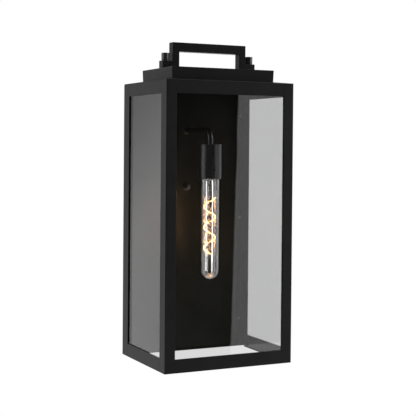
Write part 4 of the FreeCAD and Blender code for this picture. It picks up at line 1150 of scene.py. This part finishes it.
def backdrop():
    """Pale floor well below the lantern, which hangs as if on its wall."""
    drop = 0.65
    reach = 1.5
    points = ring(reach, cad_low.z - drop, 96)
    mesh = bpy.data.meshes.new("floor")
    mesh.from_pydata([tuple(point) for point in points], [], [tuple(range(len(points)))])
    floor = bpy.data.objects.new("floor", mesh)
    bpy.context.scene.collection.objects.link(floor)
    finish = Finish("pale_floor")
    finish.colour(finish.noise(2, 3), (0.88, 0.88, 0.88), (0.92, 0.92, 0.92))
    finish.roughness(finish.noise(6, 2), 0.8, 0.9)
    finish.plain(Emission_Color=(1.0, 1.0, 1.0), Emission_Strength=0.35)
    mesh.materials.append(finish.material)


def surroundings():
    """White room whose dark front is only met by rays that have bounced off the lantern."""
    world = bpy.data.worlds.new("studio")
    bpy.context.scene.world = world
    world.use_nodes = True
    tree = world.node_tree
    background = tree.nodes["Background"]
    background.inputs["Color"].default_value = (1, 1, 1, 1)
    direction = tree.nodes.new("ShaderNodeTexCoord").outputs["Generated"]

    def feed(socket, value):
        if isinstance(value, (int, float)):
            socket.default_value = value
        else:
            tree.links.new(value, socket)

    def combined(operation, first, second):
        node = tree.nodes.new("ShaderNodeMath")
        node.operation = operation
        feed(node.inputs[0], first)
        feed(node.inputs[1], second)
        return node.outputs["Value"]

    def stretched(value, low, high):
        node = tree.nodes.new("ShaderNodeMapRange")
        feed(node.inputs["Value"], value)
        feed(node.inputs["To Min"], low)
        feed(node.inputs["To Max"], high)
        return node.outputs["Result"]

    def beyond(azimuth, sign, lean, softness):
        """0 to 1 across an upright edge at an azimuth measured from -Y towards +X."""
        angle = math.radians(azimuth)
        dot = tree.nodes.new("ShaderNodeVectorMath")
        dot.operation = "DOT_PRODUCT"
        tree.links.new(direction, dot.inputs[0])
        dot.inputs[1].default_value = (sign * math.cos(angle), sign * math.sin(angle), lean)
        ramp = tree.nodes.new("ShaderNodeMapRange")
        tree.links.new(dot.outputs["Value"], ramp.inputs["Value"])
        ramp.inputs["From Min"].default_value = -softness
        ramp.inputs["From Max"].default_value = softness
        return ramp.outputs["Result"]
    # The front pane mirrors this crisp edge, which leans a little.
    right = beyond(azimuth=27.66, sign=1, lean=-0.020, softness=0.0008)
    # The white of the left side starts softly.
    left = beyond(azimuth=-80, sign=-1, lean=0, softness=0.10)
    # The left pane mirrors what is behind on the left, which is dimmer, most of all high up.
    left_half = beyond(azimuth=0, sign=-1, lean=0, softness=0.02)
    rear = beyond(azimuth=-125, sign=-1, lean=0, softness=0.10)
    shade = stretched(beyond(azimuth=-157.6, sign=1, lean=-0.5, softness=0.035), 0.42, 0.80)
    dimmed = stretched(combined("MINIMUM", left_half, rear), 1.0, shade)
    white = combined("MULTIPLY", combined("MAXIMUM", right, left), dimmed)
    paths = tree.nodes.new("ShaderNodeLightPath").outputs
    bounces = combined("ADD", paths["Diffuse Depth"], paths["Glossy Depth"])
    seen_directly = combined("LESS_THAN", bounces, 0.5)
    darkest = 0.012
    strength = stretched(combined("MAXIMUM", white, seen_directly), darkest, 1.0)
    tree.links.new(strength, background.inputs["Strength"])


def direction_of(azimuth):
    """Level direction at an azimuth in degrees from -Y towards +X."""
    angle = math.radians(azimuth)
    return Vector((math.sin(angle), -math.cos(angle), 0))


def strip_light(name, azimuth, radiance, receiver):
    """Tall strip beside the bulb, for the upright glint that faces an azimuth on its glass."""
    low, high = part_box("bulb_glass")
    distance = 50 * MM
    width = 9 * MM
    height = 165 * MM
    above_tip = 92 * MM
    eye_azimuth = -26
    radius = (high.x - low.x) / 2
    away = direction_of(2 * azimuth - eye_azimuth)
    middle = lamp_axis() + UP * (low.z + above_tip)
    data = bpy.data.lights.new(name, "AREA")
    data.shape = "RECTANGLE"
    data.size = width
    data.size_y = height
    data.energy = radiance * math.pi * width * height
    light = bpy.data.objects.new(name, data)
    bpy.context.scene.collection.objects.link(light)
    place = middle + direction_of(azimuth) * radius + away * distance
    light.matrix_world = set_at(place, away)
    light.visible_camera = False
    only = bpy.data.collections.new(f"{name}_lights")
    only.objects.link(receiver)
    light.light_linking.receiver_collection = only


camera()
backdrop()
surroundings()
strip_light("glint_left", -48.5, 8, bulb_glass)
strip_light("glint_right", -9, 9, bulb_glass)
bpy.context.scene.view_settings.view_transform = "Standard"
